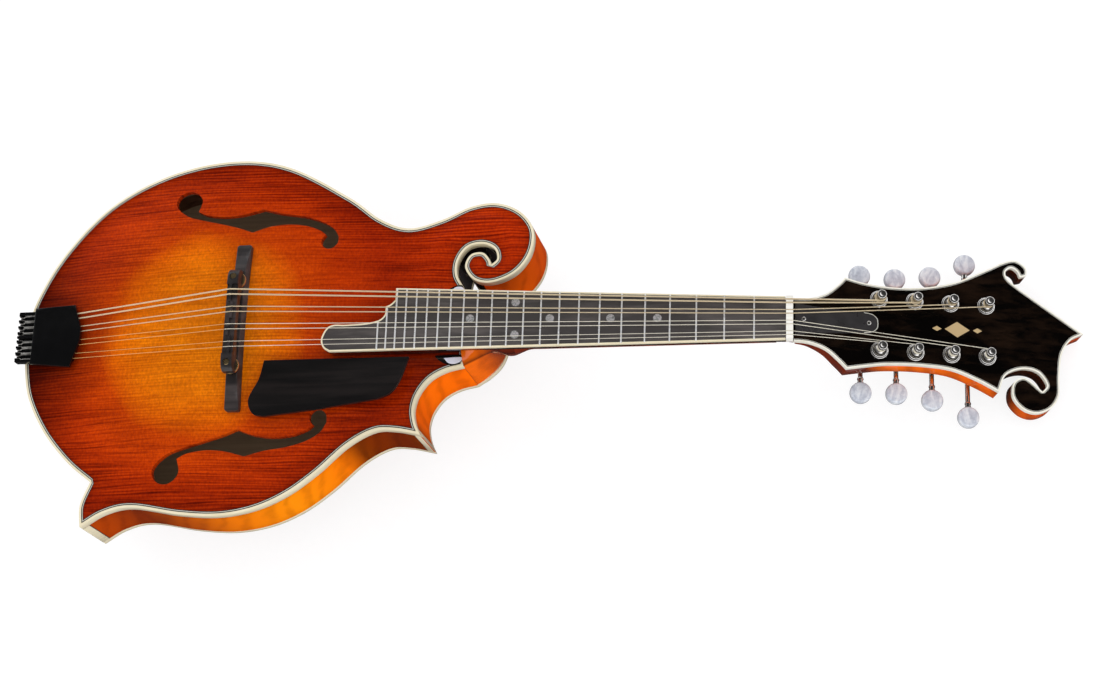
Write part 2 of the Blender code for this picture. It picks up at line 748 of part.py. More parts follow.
def rod_pocket():
    """The pocket behind the nut that gives a key access to the truss rod's nut."""
    return box("pocket", (FACE_START + 1, -4.2, -14.6), (24, 4.2, 10), NECK_FRAME)


def joined(name, items):
    """Separate solids gathered into one object, for use as a cutter."""
    work = bmesh.new()
    for item in items:
        first = len(work.verts)
        work.from_mesh(item.data)
        work.verts.ensure_lookup_table()
        fresh = work.verts[first:]
        bmesh.ops.transform(work, matrix=item.matrix_world, verts=fresh)
        bpy.data.objects.remove(item)
    mesh = bpy.data.meshes.new(name)
    work.to_mesh(mesh)
    work.free()
    return as_object(name, mesh)


def post_frame(row, side):
    """The axis of one tuning post."""
    return HEAD_FRAME @ Matrix.Translation(Vector((POST_ROWS[row], side * POST_SIDE, 0)) * MM)


def post_cutters(radius, low=-30, high=30):
    """Eight rods on the tuning posts' axes."""
    rods = [
        bore("rod", radius, low, high, post_frame(row, side))
        for side in (1, -1) for row in range(len(POST_ROWS))
    ]
    return joined("posts", rods)


def headstock():
    """The ebony veneer with its eight ferrules, and the cream binding round it."""
    face = loop(inset(HEADSTOCK, HEAD_BINDING + GAP))
    veneer = prism("headstock_veneer", [face], -VENEER, 0, HEAD_FRAME)
    veneer = combine(veneer, post_cutters(FERRULE_RADIUS, -1, FERRULE_HEIGHT), "UNION")
    veneer = combine(veneer, post_cutters(POST_RADIUS + GAP), "DIFFERENCE")
    veneer = combine(veneer, rod_pocket(), "DIFFERENCE")
    finish(veneer, "headstock_veneer", "ebony")
    inner = loop(inset(HEADSTOCK, HEAD_BINDING))
    strip = prism("headstock_binding", [loop(HEADSTOCK), inner], -VENEER, 0, HEAD_FRAME)
    finish(strip, "headstock_binding", "cream_binding")


def truss_rod():
    """The steel rod in the neck, its brass nut and the black cover over them."""
    frame = NECK_FRAME @ Matrix.Translation(Vector((0, 0, ROD_DEPTH)) * MM)
    frame = frame @ Matrix.Rotation(math.radians(90), 4, "Y")
    rod = turned("truss_rod", [
        (0, 19), (1.6, 19), (1.6, 6), (2.6, 6), (2.6, -ROD_LENGTH), (0, -ROD_LENGTH),
    ], frame, 12)
    finish(rod, "truss_rod", "steel", True)
    nut = turned("truss_rod_nut", [(1.8, 18), (3.2, 18), (3.2, 9), (1.8, 9), (1.8, 18)], frame, 12)
    finish(nut, "truss_rod_nut", "brass", True)
    half = smooth([(2, 8.2), (14, 7.2), (40, 6.8), (48, 6.2), (52, 3.4), (53, 0)], 2)
    outline = half + [Vector((p.x, -p.y)) for p in half[-2::-1]]
    cover = prism("truss_rod_cover", [outline], GAP, 2.2, HEAD_FRAME)
    for along in (5.2, 47.6):
        spot = HEAD_FRAME @ Matrix.Translation(Vector((along, 0, 0)) * MM)
        cover = combine(cover, cylinder("screw", 1.5, 1, 2.9, spot, 10), "UNION")
    finish(cover, "truss_rod_cover", "black_plastic")


def board_outline(margin=0):
    """The fretboard with its long, scooped treble extension, in the neck's frame."""
    treble = board_half_width(EXTENSION_END) - margin
    bass_nut = NUT_WIDTH / 2 - margin
    scoop = smooth([(-BOARD_END, 13.0), (-251.4, 10.1), (-254.6, 8.4)])
    extension = smooth([
        (-254.8, 3.2), (-256.6, 0.7), (-260, -1.4), (-268, -3.0), (-280, -3.9), (-288, -4.0),
        (-292.6, -6.8), (-295.4, -13.8), (-293.8, -19.2), (-EXTENSION_END, -treble),
    ])
    end = scoop + extension
    if margin:
        end = [point + Vector((margin, 0)) for point in end]
    corner = Vector((-BOARD_END + margin, board_half_width(BOARD_END) - margin))
    return [Vector((-GAP, bass_nut)), corner] + end + [Vector((-GAP, -bass_nut))]


def fret_reach(number):
    """Distance from the nut to a fret in equal temperament."""
    return SCALE_LENGTH * (1 - 2 ** (-number / 12))


def fretboard():
    """The ebony fretboard with its nickel frets, and the riser under its extension."""
    board = prism("fretboard", [board_outline()], -BOARD_THICKNESS, 0, NECK_FRAME)
    bars = []
    for number in range(1, FRET_COUNT + 1):
        reach = fret_reach(number)
        treble = -board_half_width(reach) + FRET_INSET
        bass = -treble if number <= FULL_FRETS else PARTIAL_FRETS[number]
        section = [(-0.6, -0.4), (-0.35, 0.95), (0.35, 0.95), (0.6, -0.4)]
        ends = [[(x - reach, y, z) for x, z in section] for y in (treble, bass)]
        bars.append(loft("fret", ends, NECK_FRAME))
    board = combine(board, joined("frets", bars), "UNION")
    finish(board, "fretboard", "fretboard_ebony")

    start = (NUT_STATION - JOINT_STATION) / math.cos(NECK_ANGLE)
    riser = prism("fretboard_riser", [board_outline(1.6)], -26, -BOARD_THICKNESS - GAP, NECK_FRAME)
    beyond = box("beyond", (-400, -60, -80), (-start - 0.6, 60, 80), NECK_FRAME)
    riser = combine(riser, beyond, "INTERSECT")
    ground = arched_slab("ground", 1, TOP_ARCH, None, GAP)
    finish(combine(riser, ground, "DIFFERENCE"), "fretboard_riser", "ebony")

    low = (GAP, -NUT_WIDTH / 2, -BOARD_THICKNESS)
    nut = box("nut", low, (NUT_THICKNESS, NUT_WIDTH / 2, NUT_HEIGHT), NECK_FRAME)
    finish(nut, "nut", "bone")


# ---------------------------------------------------------------- bridge and tailpiece


def across_frame(station):
    """A frame at a station, with its X across the body and its Y up."""
    turn = Matrix(((0, 0, 1, 0), (1, 0, 0, 0), (0, 1, 0, 0), (0, 0, 0, 1)))
    return BODY_FRAME @ Matrix.Translation(Vector((station, 0, 0)) * MM) @ turn


def bridge():
    """The ebony bridge: fitted base with two posts, adjustable saddle and two thumbwheels."""
    frame = across_frame(BRIDGE_STATION)
    half = BRIDGE_SPAN / 2
    top = RIM_TOP + BASE_TOP
    end_top = RIM_TOP + TOP_ARCH * arch(BRIDGE_STATION, half) + 4.0
    upper = smooth([(half, end_top), (half - 8, end_top + 1.2), (39, top - 0.6), (33, top)], 2)
    outline = [Vector((half, 10))] + upper + [Vector((-p.x, p.y)) for p in upper[::-1]]
    outline.append(Vector((-half, 10)))
    base = prism("bridge_base", [outline], -BRIDGE_WIDTH / 2, BRIDGE_WIDTH / 2, frame)
    base = combine(base, arched_slab("ground", 1, TOP_ARCH, None, GAP), "DIFFERENCE")
    saddle_low = top + THUMBWHEEL_LIFT + THUMBWHEEL_THICKNESS + GAP
    crown = STRING_HEIGHT - 0.2
    for side in (1, -1):
        post = cylinder("post", BRIDGE_POST_RADIUS, top - 3, crown - 1.2, post_spot(side), 12)
        base = combine(base, post, "UNION")
    finish(base, "bridge_base", "ebony")

    half = SADDLE_SPAN / 2
    upper = smooth([
        (half, saddle_low + 4.6), (half - 3, crown - 1.6), (half - 10, crown - 0.4), (0, crown),
    ], 2)
    lower = smooth([
        (half, saddle_low), (22, saddle_low), (14, saddle_low + 1.6), (0, saddle_low + 2.4),
    ], 2)
    right = lower[::-1] + upper
    outline = right + [Vector((-p.x, p.y)) for p in right[-2:0:-1]]
    saddle = prism("bridge_saddle", [outline], -SADDLE_WIDTH / 2, SADDLE_WIDTH / 2, frame)
    front = box("front", (BRIDGE_STATION + 0.9, -45, crown - 4), (BRIDGE_STATION + 9, 45, crown + 2))
    saddle = combine(saddle, front, "DIFFERENCE")
    for index, shift in enumerate(COMPENSATION):
        low = -SADDLE_SPAN / 2 - 1 if index == 3 else COURSE_EDGE[index + 1]
        high = SADDLE_SPAN / 2 + 1 if index == 0 else COURSE_EDGE[index]
        cut = box(
            "step", (BRIDGE_STATION - 9, low, crown - 3), (BRIDGE_STATION + shift - 1.4, high, crown + 2))
        saddle = combine(saddle, cut, "DIFFERENCE")
    for side in (1, -1):
        hole = bore("hole", BRIDGE_POST_RADIUS + GAP, top - 5, crown + 5, post_spot(side))
        saddle = combine(saddle, hole, "DIFFERENCE")
    finish(saddle, "bridge_saddle", "ebony")

    low = top + THUMBWHEEL_LIFT
    high = low + THUMBWHEEL_THICKNESS
    hole = BRIDGE_POST_RADIUS + 2 * GAP
    for name, side in (("thumbwheel_bass", 1), ("thumbwheel_treble", -1)):
        wheel = turned(name, [
            (hole, high), (THUMBWHEEL_RADIUS, high), (THUMBWHEEL_RADIUS, low), (hole, low), (hole, high),
        ], post_spot(side), 24)
        finish(wheel, name, "brass", True)


def post_spot(side):
    """The axis of one of the bridge's two posts."""
    return BODY_FRAME @ Matrix.Translation(Vector((BRIDGE_STATION, side * BRIDGE_POST_SIDE, 0)) * MM)


def tailpiece():
    """The black metal tailpiece: a bent base with a comb of hooks, and its sliding cover."""
    floor = TAILPIECE_FLOOR
    plate_low = floor - 1.3
    corners = ((-1.8, 17.5), (34, 17.5), (38, 12), (38, -12), (34, -17.5), (-1.8, -17.5))
    outline = [Vector(corner) for corner in corners]
    base = prism("tailpiece_base", [outline], plate_low, floor)
    base = combine(base, arched_slab("ground", 1, TOP_ARCH, None, GAP), "DIFFERENCE")
    leg = box("leg", (-1.8, -13, -9), (-0.6, 13, floor - 0.3))
    base = combine(base, leg, "UNION")
    bar = box("bar", (COMB_STATION, -17.5, floor - 1.3), (COMB_STATION + 2.4, 17.5, floor + 0.5))
    base = combine(base, bar, "UNION")
    teeth = []
    for index in range(len(STRINGS)):
        side = hook_side(index)
        low = (COMB_STATION, side - 0.75, floor)
        teeth.append(box("tooth", low, (COMB_STATION + TOOTH_THICKNESS, side + 0.75, floor + 3.6)))
    base = combine(base, joined("teeth", teeth), "UNION")
    base = combine(base, pin_cutter(), "DIFFERENCE")
    finish(base, "tailpiece_base", "black_metal")

    half = [Vector(p) for p in ((9.2, 19.4), (36.4, 21.6), (38.6, 15.2), (TAILPIECE_FRONT, 4.4))]
    outline = half + [Vector((p.x, -p.y)) for p in half[::-1]]
    cover = prism("tailpiece_cover", [outline], floor + GAP, COVER_TOP)
    hollow = box("hollow", (0, -18.2, floor - 2), (60, 18.2, COVER_TOP - 1.4))
    cover = combine(cover, hollow, "DIFFERENCE")
    cover = combine(cover, arched_slab("ground", 1, TOP_ARCH, None, GAP), "DIFFERENCE")
    finish(cover, "tailpiece_cover", "black_metal")

    turn = Matrix.Rotation(math.radians(-90), 4, "Y")
    button = turned("strap_button", [
        (0, 0), (5.5, 0), (6.6, -1.4), (6.6, -2.6), (4.0, -5.4), (4.0, -7.6), (6.4, -9.6),
        (6.4, -BUTTON_LENGTH + 2.0), (PIN_RADIUS, -BUTTON_LENGTH + 2.0), (PIN_RADIUS - 0.6, -30), (0, -30),
    ], turn, 20)
    finish(button, "strap_button", "ebony", True)


def pickguard():
    """The raised ebony pickguard and the small post that holds it off the soundboard."""
    outline = smooth([(174, -24.6), (171.5, -37), (165.4, -50.5), (168.6, -60), (176, -62.4)])
    outline += smooth([(176, -62.4), (206, -59.2), (236, -55.2), (251, -53)])[1:]
    outline += smooth([(251, -53), (259.5, -49.4), (265.5, -40.5), (270.5, -25.6)])[1:]
    low = RIM_TOP + PICKGUARD_LIFT
    guard = prism("pickguard", [outline], low, low + PICKGUARD_THICKNESS)
    finish(guard, "pickguard", "ebony")
    foot = [Vector(p) for p in ((214, -52), (244, -49), (244, -44), (214, -47))]
    post = prism("pickguard_support", [foot], RIM_TOP, low - GAP)
    post = combine(post, arched_slab("ground", 1, TOP_ARCH, None, GAP), "DIFFERENCE")
    finish(post, "pickguard_support", "ebony")


# ---------------------------------------------------------------- tuning machines and strings


def helical_sections(low, high, turns, steps):
    """Off-centre rings that wind round the Z axis, for a single-start worm."""
    rings = []
    for step in range(steps + 1):
        height = low + (high - low) * step / steps
        angle = 2 * math.pi * turns * step / steps
        rings.append((height, WORM_RADIUS - 0.35, 0.35, angle))
    return rings


def ring_points(height, radius, offset, angle, sides=8):
    """One ring of a rod about Z, moved off its axis in a given direction."""
    across = offset * math.cos(angle)
    along = offset * math.sin(angle)
    turn = 2 * math.pi / sides
    return [
        (across + radius * math.cos(turn * k), along + radius * math.sin(turn * k), height)
        for k in range(sides)
    ]


def tuner_button(number, row, side):
    """A pearloid button on its steel shaft, whose worm drives the post's gear."""
    level = DRIVE_LEVEL
    spot = Vector((POST_ROWS[row] - WORM_OFFSET, side * POST_SIDE, level))
    quarter = math.radians(90)
    frame = HEAD_FRAME @ Matrix.Translation(spot * MM) @ Matrix.Rotation(-side * quarter, 4, "X")
    reach = BUTTON_REACH[row]
    rings = [(-5.6, SHAFT_RADIUS, 0, 0), (-3.2, SHAFT_RADIUS, 0, 0)]
    rings += helical_sections(-3.1, 3.1, 2.5, 8)
    rings += [(3.2, SHAFT_RADIUS, 0, 0), (reach - 4, SHAFT_RADIUS, 0, 0)]
    shaft = loft("shaft", [ring_points(*ring) for ring in rings], frame)
    flat = frame @ Matrix.Translation(Vector((0, 0, reach)) * MM) @ Matrix.Rotation(quarter, 4, "X")
    half = BUTTON_THICKNESS / 2
    disc = turned("disc", [
        (0, half), (BUTTON_RADIUS - 1.2, half), (BUTTON_RADIUS, half - 1.6),
        (BUTTON_RADIUS, 1.6 - half), (BUTTON_RADIUS - 1.2, -half), (0, -half),
    ], flat, 12)
    finish(combine(shaft, disc, "UNION"), f"tuner_button_{number}", "pearloid", True)


def tuner_post(number, row, side):
    """A nickel string post with its 14-tooth gear below the tuner plate."""
    low = DRIVE_LEVEL + GEAR_THICKNESS / 2
    waist = POST_RADIUS - 0.6
    post = turned("post", [
        (0, POST_TOP), (POST_RADIUS, POST_TOP), (POST_RADIUS, WINDING_TOP + 1),
        (waist, WINDING_TOP + 0.4), (waist, WINDING_LOW - 0.6), (POST_RADIUS, WINDING_LOW - 1.4),
        (POST_RADIUS, low - GEAR_THICKNESS - 0.8), (0, low - GEAR_THICKNESS - 0.8),
    ], post_frame(row, side), 10)
    outline = []
    for tooth in range(GEAR_TEETH):
        for part, radius in ((-0.5, 4.2), (0, GEAR_RADIUS)):
            angle = 2 * math.pi * (tooth + part) / GEAR_TEETH
            outline.append(Vector((radius * math.cos(angle), radius * math.sin(angle))))
    gear = prism("gear", [outline], low - GEAR_THICKNESS, low, post_frame(row, side))
    finish(combine(post, gear, "UNION"), f"tuner_post_{number}", "nickel", True)


def tuner_plate(name, side):
    """One side's nickel plate with a pair of bearing lugs for each shaft."""
    top = -HEAD_THICKNESS - GAP
    low = -HEAD_THICKNESS - TUNER_PLATE
    inner, outer = side * (POST_SIDE - 7.4), side * (POST_SIDE + 7.0)
    ends = (POST_ROWS[0] - 14, POST_ROWS[-1] + 8)
    near, far = sorted((inner, outer))
    corners = ((ends[0], near), (ends[1], near), (ends[1], far), (ends[0], far))
    plate = prism(name, [[Vector(c) for c in corners]], low, top, HEAD_FRAME)
    level = DRIVE_LEVEL
    lugs = []
    shafts = []
    for row in POST_ROWS:
        for start, end in ((-5.4, -3.8), (3.8, 5.4)):
            near, far = sorted((side * (POST_SIDE + start), side * (POST_SIDE + end)))
            middle = row - WORM_OFFSET
            corner = (middle + 2.6, far, low + 0.5)
            lugs.append(box("lug", (middle - 2.6, near, level - 2.6), corner, HEAD_FRAME))
        spot = HEAD_FRAME @ Matrix.Translation(Vector((row - WORM_OFFSET, 0, level)) * MM)
        spot = spot @ Matrix.Rotation(math.radians(-side * 90), 4, "X")
        shafts.append(bore("bore", SHAFT_RADIUS + GAP, 5, 40, spot))
    plate = combine(plate, joined("lugs", lugs), "UNION")
    plate = combine(plate, joined("bores", shafts), "DIFFERENCE")
    rods = [bore("rod", POST_RADIUS + GAP, -30, 10, post_frame(row, side)) for row in range(4)]
    plate = combine(plate, joined("posts", rods), "DIFFERENCE")
    finish(plate, name, "nickel")


def tuners():
    """Eight worm-and-gear tuning machines on two plates."""
    tuner_plate("tuner_plate_bass", 1)
    tuner_plate("tuner_plate_treble", -1)
    for number, (side, row) in enumerate(TUNER_ORDER, 1):
        tuner_button(number, row, side)
        tuner_post(number, row, side)


def hook_side(index):
    """Where a string's loop sits across the tailpiece."""
    return -(index - 3.5) * HOOK_SPACING + math.copysign(0.8, 3.5 - index)


def course_side(index, course_spacing, pair_half_gap):
    """Where a string runs across the instrument, from its course and its place in the pair."""
    return COURSE_SIGNS[index] * course_spacing + PAIR_SIGNS[index] * pair_half_gap


def string(index):
    """One string: loop end, over the saddle and the nut, and wound round its post."""
    name, radius = STRINGS[index]
    side, row = TUNER_ORDER[index]
    floor = TAILPIECE_FLOOR
    hook = COMB_STATION + TOOTH_THICKNESS + GAP
    start = (hook + BUTTON_LENGTH, hook_side(index), floor + 0.9 + radius)
    path = [Vector(start)]
    exit_side = course_side(index, 9.3, 1.75)
    path.append(Vector((TAILPIECE_FRONT - 4 + BUTTON_LENGTH, exit_side, RIM_TOP + 8.2)))
    saddle_side = course_side(index, 11.9, 1.75)
    shift = COMPENSATION[index // 2]
    path.append(Vector((BRIDGE_STATION + BUTTON_LENGTH + shift, saddle_side, STRING_HEIGHT + radius)))
    nut_side = course_side(index, 7.07, 1.2)
    for along in (0.3, NUT_THICKNESS - 0.3):
        spot = NECK_FRAME @ (Vector((along, nut_side, NUT_HEIGHT + 0.1 + radius)) * MM)
        path.append(spot / MM)
    to_head = post_frame(row, side)
    from_head = to_head.inverted()
    wind = POST_RADIUS - 0.6 + GAP + radius
    last = from_head @ (path[-1] * MM) / MM
    away = math.hypot(last.x, last.y)
    toward = math.atan2(last.y, last.x)
    begin = toward + side * math.acos(wind / away)
    count = int(WINDING_TURNS * WINDING_STEPS)
    for step in range(count + 1):
        angle = begin + side * 2 * math.pi * step / WINDING_STEPS
        height = WINDING_TOP - radius - (2 * radius + 0.12) * step / WINDING_STEPS
        local = Vector((wind * math.cos(angle), wind * math.sin(angle), height))
        path.append(to_head @ (local * MM) / MM)
    material_name = "bronze_wound" if index < 4 else "steel"
    finish(wire(f"string_{name}", path, radius), f"string_{name}", material_name, True)


def build():
    """Make every piece of the instrument."""
    clear_scene()
    collection = bpy.data.collections.new("mandolin")
    bpy.context.scene.collection.children.link(collection)
    plates()
    bindings()
    ribs_and_linings()
    blocks()
    tone_bars()
    neck()
    headstock()
    truss_rod()
    fretboard()
    bridge()
    tailpiece()
    pickguard()
    tuners()
    for index in range(len(STRINGS)):
        string(index)


build()
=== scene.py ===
"""The looks of a scroll-bodied mandolin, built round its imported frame.

Sizes are in millimetres until a mesh is made. +X runs from the tail to the headstock, +Y to the
bass side and +Z out of the soundboard. A "station" is measured from the tail end of the body and a
"reach" from the nut. Materials work in metres.
"""

import math

import bmesh
import bpy
import numpy as np
from mathutils import Matrix, Vector
from mathutils.geometry import delaunay_2d_cdt


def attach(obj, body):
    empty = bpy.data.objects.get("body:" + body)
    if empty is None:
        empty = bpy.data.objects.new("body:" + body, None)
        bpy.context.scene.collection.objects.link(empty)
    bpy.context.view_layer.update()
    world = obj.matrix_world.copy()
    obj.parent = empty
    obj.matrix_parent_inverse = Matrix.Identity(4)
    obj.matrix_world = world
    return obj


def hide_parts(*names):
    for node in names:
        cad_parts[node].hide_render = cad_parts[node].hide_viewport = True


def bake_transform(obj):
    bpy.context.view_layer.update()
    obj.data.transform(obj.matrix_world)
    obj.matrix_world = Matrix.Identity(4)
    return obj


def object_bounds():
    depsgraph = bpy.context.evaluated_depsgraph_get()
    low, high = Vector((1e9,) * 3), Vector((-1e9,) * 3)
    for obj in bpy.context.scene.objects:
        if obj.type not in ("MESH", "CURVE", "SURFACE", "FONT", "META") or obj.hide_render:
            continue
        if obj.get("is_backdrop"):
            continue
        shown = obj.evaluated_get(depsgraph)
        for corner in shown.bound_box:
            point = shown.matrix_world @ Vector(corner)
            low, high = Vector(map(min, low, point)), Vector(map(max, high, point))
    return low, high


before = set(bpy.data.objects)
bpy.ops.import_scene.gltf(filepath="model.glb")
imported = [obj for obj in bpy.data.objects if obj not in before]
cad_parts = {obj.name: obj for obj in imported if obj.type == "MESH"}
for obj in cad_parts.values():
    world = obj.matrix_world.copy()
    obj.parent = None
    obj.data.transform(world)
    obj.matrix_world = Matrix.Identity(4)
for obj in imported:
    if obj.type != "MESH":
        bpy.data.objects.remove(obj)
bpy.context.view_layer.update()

# Clearances: a glue line, a hairline between neighbours, and how near points are welded
MM = 0.001
GAP = 0.15
SLIT = 0.02
WELD = 0.0005
SIDES = (("bass", 1), ("treble", -1))

# Body; the arch is worked out on a field of cells, and a crest runs along the scroll's arm
BUTTON_LENGTH = 12.0
RIM_TOP = 22.2
PLATE = 4.0
TOP_ARCH = 13.0
BACK_ARCH = 12.0
RIB = 2.0
RIB_TIP = 0.15
RIB_TAPER = 0.35
BINDING_WIDTH = 1.6
BINDING_DEPTH = 6.0
BACK_BINDING_DEPTH = 4.2
PURFLING = (("black", 0.55), ("white", 0.45), ("black", 0.5))
PURFLING_DEPTH = 1.5
RIDGE_HEIGHT = 3.0
RIDGE_REACH = 13.0
RIDGE_EDGE = 3.4
RIDGE_POWER = 1.25
JOINT_STATION = 302.0
HEEL_STATION = 322.0
# Where the bass rib turns out of the light into the scroll's slot
SCROLL_TURN = (312, 29.5)
OUTLINE_STEPS = 8
ARCH_POWER = 1.2
ARCH_INSET = 4.0
ARCH_ROUNDS = 5000
SOFTENING_ROUNDS = 3
FIELD_CELL = 2.5
FIELD_LOW = (0, -135)
FIELD_HIGH = (350, 130)
PLATE_CELL = 3.2
CAP_LENGTH = 5.0
CAP_LINE = 0.5

# Neck, fretboard and strings
NUT_X = 507.0 + BUTTON_LENGTH
NUT_STATION = NUT_X - BUTTON_LENGTH
NUT_Z = RIM_TOP - 9.2
NECK_ANGLE = math.radians(6.0)
HEAD_ANGLE = math.radians(17.0)
SCALE_LENGTH = 352.4
FRET_COUNT = 23
FULL_FRETS = 21
PARTIAL_FRETS = {22: 7.4, 23: -2.0}
FRET_INSET = 0.5
FRET_HALF = 0.55
FRET_HEIGHT = 0.95
NUT_WIDTH = 28.6
BOARD_FLARE = 0.0536
BOARD_THICKNESS = 5.0
BOARD_END = 248.6
EXTENSION_END = 289.8
BOARD_BINDING = 1.1
BOARD_BINDING_DEPTH = 2.6
DOT_RADIUS = 2.7
DOTS = {5: (0,), 7: (0,), 10: (0,), 12: (10.9, -10.9), 15: (0,)}
NUT_THICKNESS = 4.6
NUT_HEIGHT = 1.3
NECK_INSET = 0.3
NECK_DEPTH = 12.0
# The heel is widest at this height, level with the body's rim
SHOULDER = 22.4
THROAT_HALF = 13.7
POCKET_HALF = 4.2
# Outlines, as stations and distances across, of each foot and of its pale patch of painted reflection
RISER_FEET = (
    ("treble",
     [(284, -20.4), (301.2, -20.4), (301.2, -24.6), (296, -27.2), (289, -25.4), (284, -21.6)],
     [(289.4, -22.2), (301, -21.9), (300.6, -24.6), (296.4, -26.3), (292.2, -25.4)]),
    ("bass",
     [(290, 21.2), (301.6, 21.2), (300.2, 25), (298.6, 27.4), (294, 26.6), (290, 24)],
     [(292, 23.6), (296, 22.8), (300.6, 23.4), (299, 26.0), (295, 26.0)]),
)

# Headstock and tuning machines
FACE_DROP = 4.0
FACE_START = 5.0
VENEER = 3.0
HEAD_BINDING = 1.1
HEAD_THICKNESS = 14.0
HEAD_START = -0.3
# Centre and reach, in metres, of the painted shade inside each of the headstock's curls
CURLS = (((0.6640, -0.0260), 0.0210), ((0.6600, 0.0410), 0.0130))
POST_ROWS = (54.0, 77.0, 100.0, 123.0)
POST_SIDE = 17.0
POST_RADIUS = 3.1
POST_TOP = 10.9
FERRULE_RADIUS = 5.8
FERRULE_HEIGHT = 1.6
TUNER_PLATE = 1.2
GEAR_TEETH = 14
GEAR_RADIUS = 5.2
GEAR_THICKNESS = 3.0
WORM_OFFSET = 8.0
WORM_RADIUS = 2.5
WORM_DEPTH = 0.45
WORM_HALF = 3.1
WORM_TURNS = 3
WORM_STEPS = 48
LUG_HALF = 2.8
SHAFT_RADIUS = 1.5
WINDING_TOP = 7.4
COIL_STEPS = 24
DRIVE_LEVEL = -HEAD_THICKNESS - TUNER_PLATE - 4.6
BUTTON_RADIUS = 6.9
BUTTON_THICKNESS = 6.2
# Per row: how far the button stands out; per tuner: its side and its row
BUTTON_REACH = (22.4, 21.6, 24.6, 34.5)
TUNER_ORDER = ((1, 0), (1, 1), (1, 2), (1, 3), (-1, 3), (-1, 2), (-1, 1), (-1, 0))

# Bridge and tailpiece
BRIDGE_STATION = 153.5
BASE_TOP = RIM_TOP + 18.5
BRIDGE_SPAN = 114.0
BRIDGE_WIDTH = 9.6
STRING_HEIGHT = RIM_TOP + 31.0
CROWN = STRING_HEIGHT - 0.2
SADDLE_SPAN = 69.5
SADDLE_WIDTH = 7.5
BRIDGE_POST_SIDE = 29.3
BRIDGE_POST_RADIUS = 2.0
THUMBWHEEL_RADIUS = 5.6
THUMBWHEEL_THICKNESS = 1.6
KNURLS = 40
KNURL_DEPTH = 0.28
THUMBWHEEL_LOW = BASE_TOP + 1.5
SADDLE_LOW = THUMBWHEEL_LOW + THUMBWHEEL_THICKNESS + GAP
# Per pair: how far the string's contact is moved along, and where the pairs' steps end across
COMPENSATION = (-0.9, 0.7, -0.9, 0.7)
COURSE_EDGES = (23.6, 11.6, 0.0, -11.6, -23.6)
TAILPIECE_FRONT = 42.8
TAILPIECE_FLOOR = RIM_TOP + 6.6
COVER_TOP = RIM_TOP + 11.4
COMB_STATION = -2.4
TOOTH_THICKNESS = 1.4
HOOK_SPACING = 4.2
PICKGUARD_LOW = RIM_TOP + 13.6
PICKGUARD_THICKNESS = 2.4

STRINGS = (
    ("g_outer", 0.51), ("g_inner", 0.51), ("d_outer", 0.32), ("d_inner", 0.32),
    ("a_inner", 0.21), ("a_outer", 0.21), ("e_inner", 0.18), ("e_outer", 0.18),
)
# The four pairs and the two strings of a pair, counted from the middle, and then how far apart
# pairs lie and half the gap in a pair, at the nut, the saddle and the tailpiece
COURSE_SIGNS = (1.5, 1.5, 0.5, 0.5, -0.5, -0.5, -1.5, -1.5)
PAIR_SIGNS = (1, -1, 1, -1, 1, -1, 1, -1)
WOUND_STRINGS = 4
NUT_SPREAD = (7.07, 1.2)
SADDLE_SPREAD = (11.9, 1.75)
FRONT_SPREAD = (9.3, 1.75)

# Camera and light; the sky's greys run from the horizon up, first as seen by dull surfaces
EYE = Vector((0.66644, -0.48662, 1.35017))
LOOK_AT = Vector((0.36543, -0.00714, 0.0))
CAMERA_ROLL = math.radians(2.06)
LENS = 74.31
FLOOR_SIZE = 12.0
SKY_STRENGTH = 2.0
SOFT_LIGHT = ((0.0, 0.56), (0.35, 0.52), (0.8, 0.50), (1.0, 0.50))
REFLECTED_LIGHT = ((0.0, 0.9), (0.28, 0.8), (0.5, 0.12), (0.72, 0.02))
LAMPS = (("key", (-0.45, 0.9, 1.4), 0.7, 4.0), ("fill", (0.9, -1.3, 0.6), 0.9, 3.6))
LAMP_TARGET = (0.3, 0.0, 0.0)

# Frames; ON_EDGE and CROSSWISE stand a flat outline up along the neck or across the body
BODY_FRAME = Matrix.Translation(Vector((BUTTON_LENGTH, 0, 0)))
NECK_FRAME = Matrix.Translation(Vector((NUT_X, 0, NUT_Z))) @ Matrix.Rotation(NECK_ANGLE, 4, "Y")
HEAD_FRAME = Matrix.Translation(
    Vector((NUT_X + FACE_START, 0, NUT_Z - FACE_DROP))
) @ Matrix.Rotation(HEAD_ANGLE, 4, "Y")
ON_EDGE = Matrix(((1, 0, 0, 0), (0, 0, -1, 0), (0, 1, 0, 0), (0, 0, 0, 1)))
CROSSWISE = Matrix(((0, 0, 1, 0), (1, 0, 0, 0), (0, 1, 0, 0), (0, 0, 0, 1)))

# ---------------------------------------------------------------- outlines


def smooth(knots, steps=OUTLINE_STEPS):
    """A curve through the knots, with each span cut into the given number of steps."""
    points = [Vector(knot) for knot in knots]
    padded = [2 * points[0] - points[1]] + points + [2 * points[-1] - points[-2]]
    path = []
    for before, start, end, after in zip(padded, padded[1:], padded[2:], padded[3:]):
        for step in range(steps):
            t = step / steps
            pull = (end - before) * t + (2 * before - 5 * start + 4 * end - after) * t ** 2
            pull += (3 * start - before - 3 * end + after) * t ** 3
            path.append(start + pull / 2)
    path.append(points[-1])
    return path


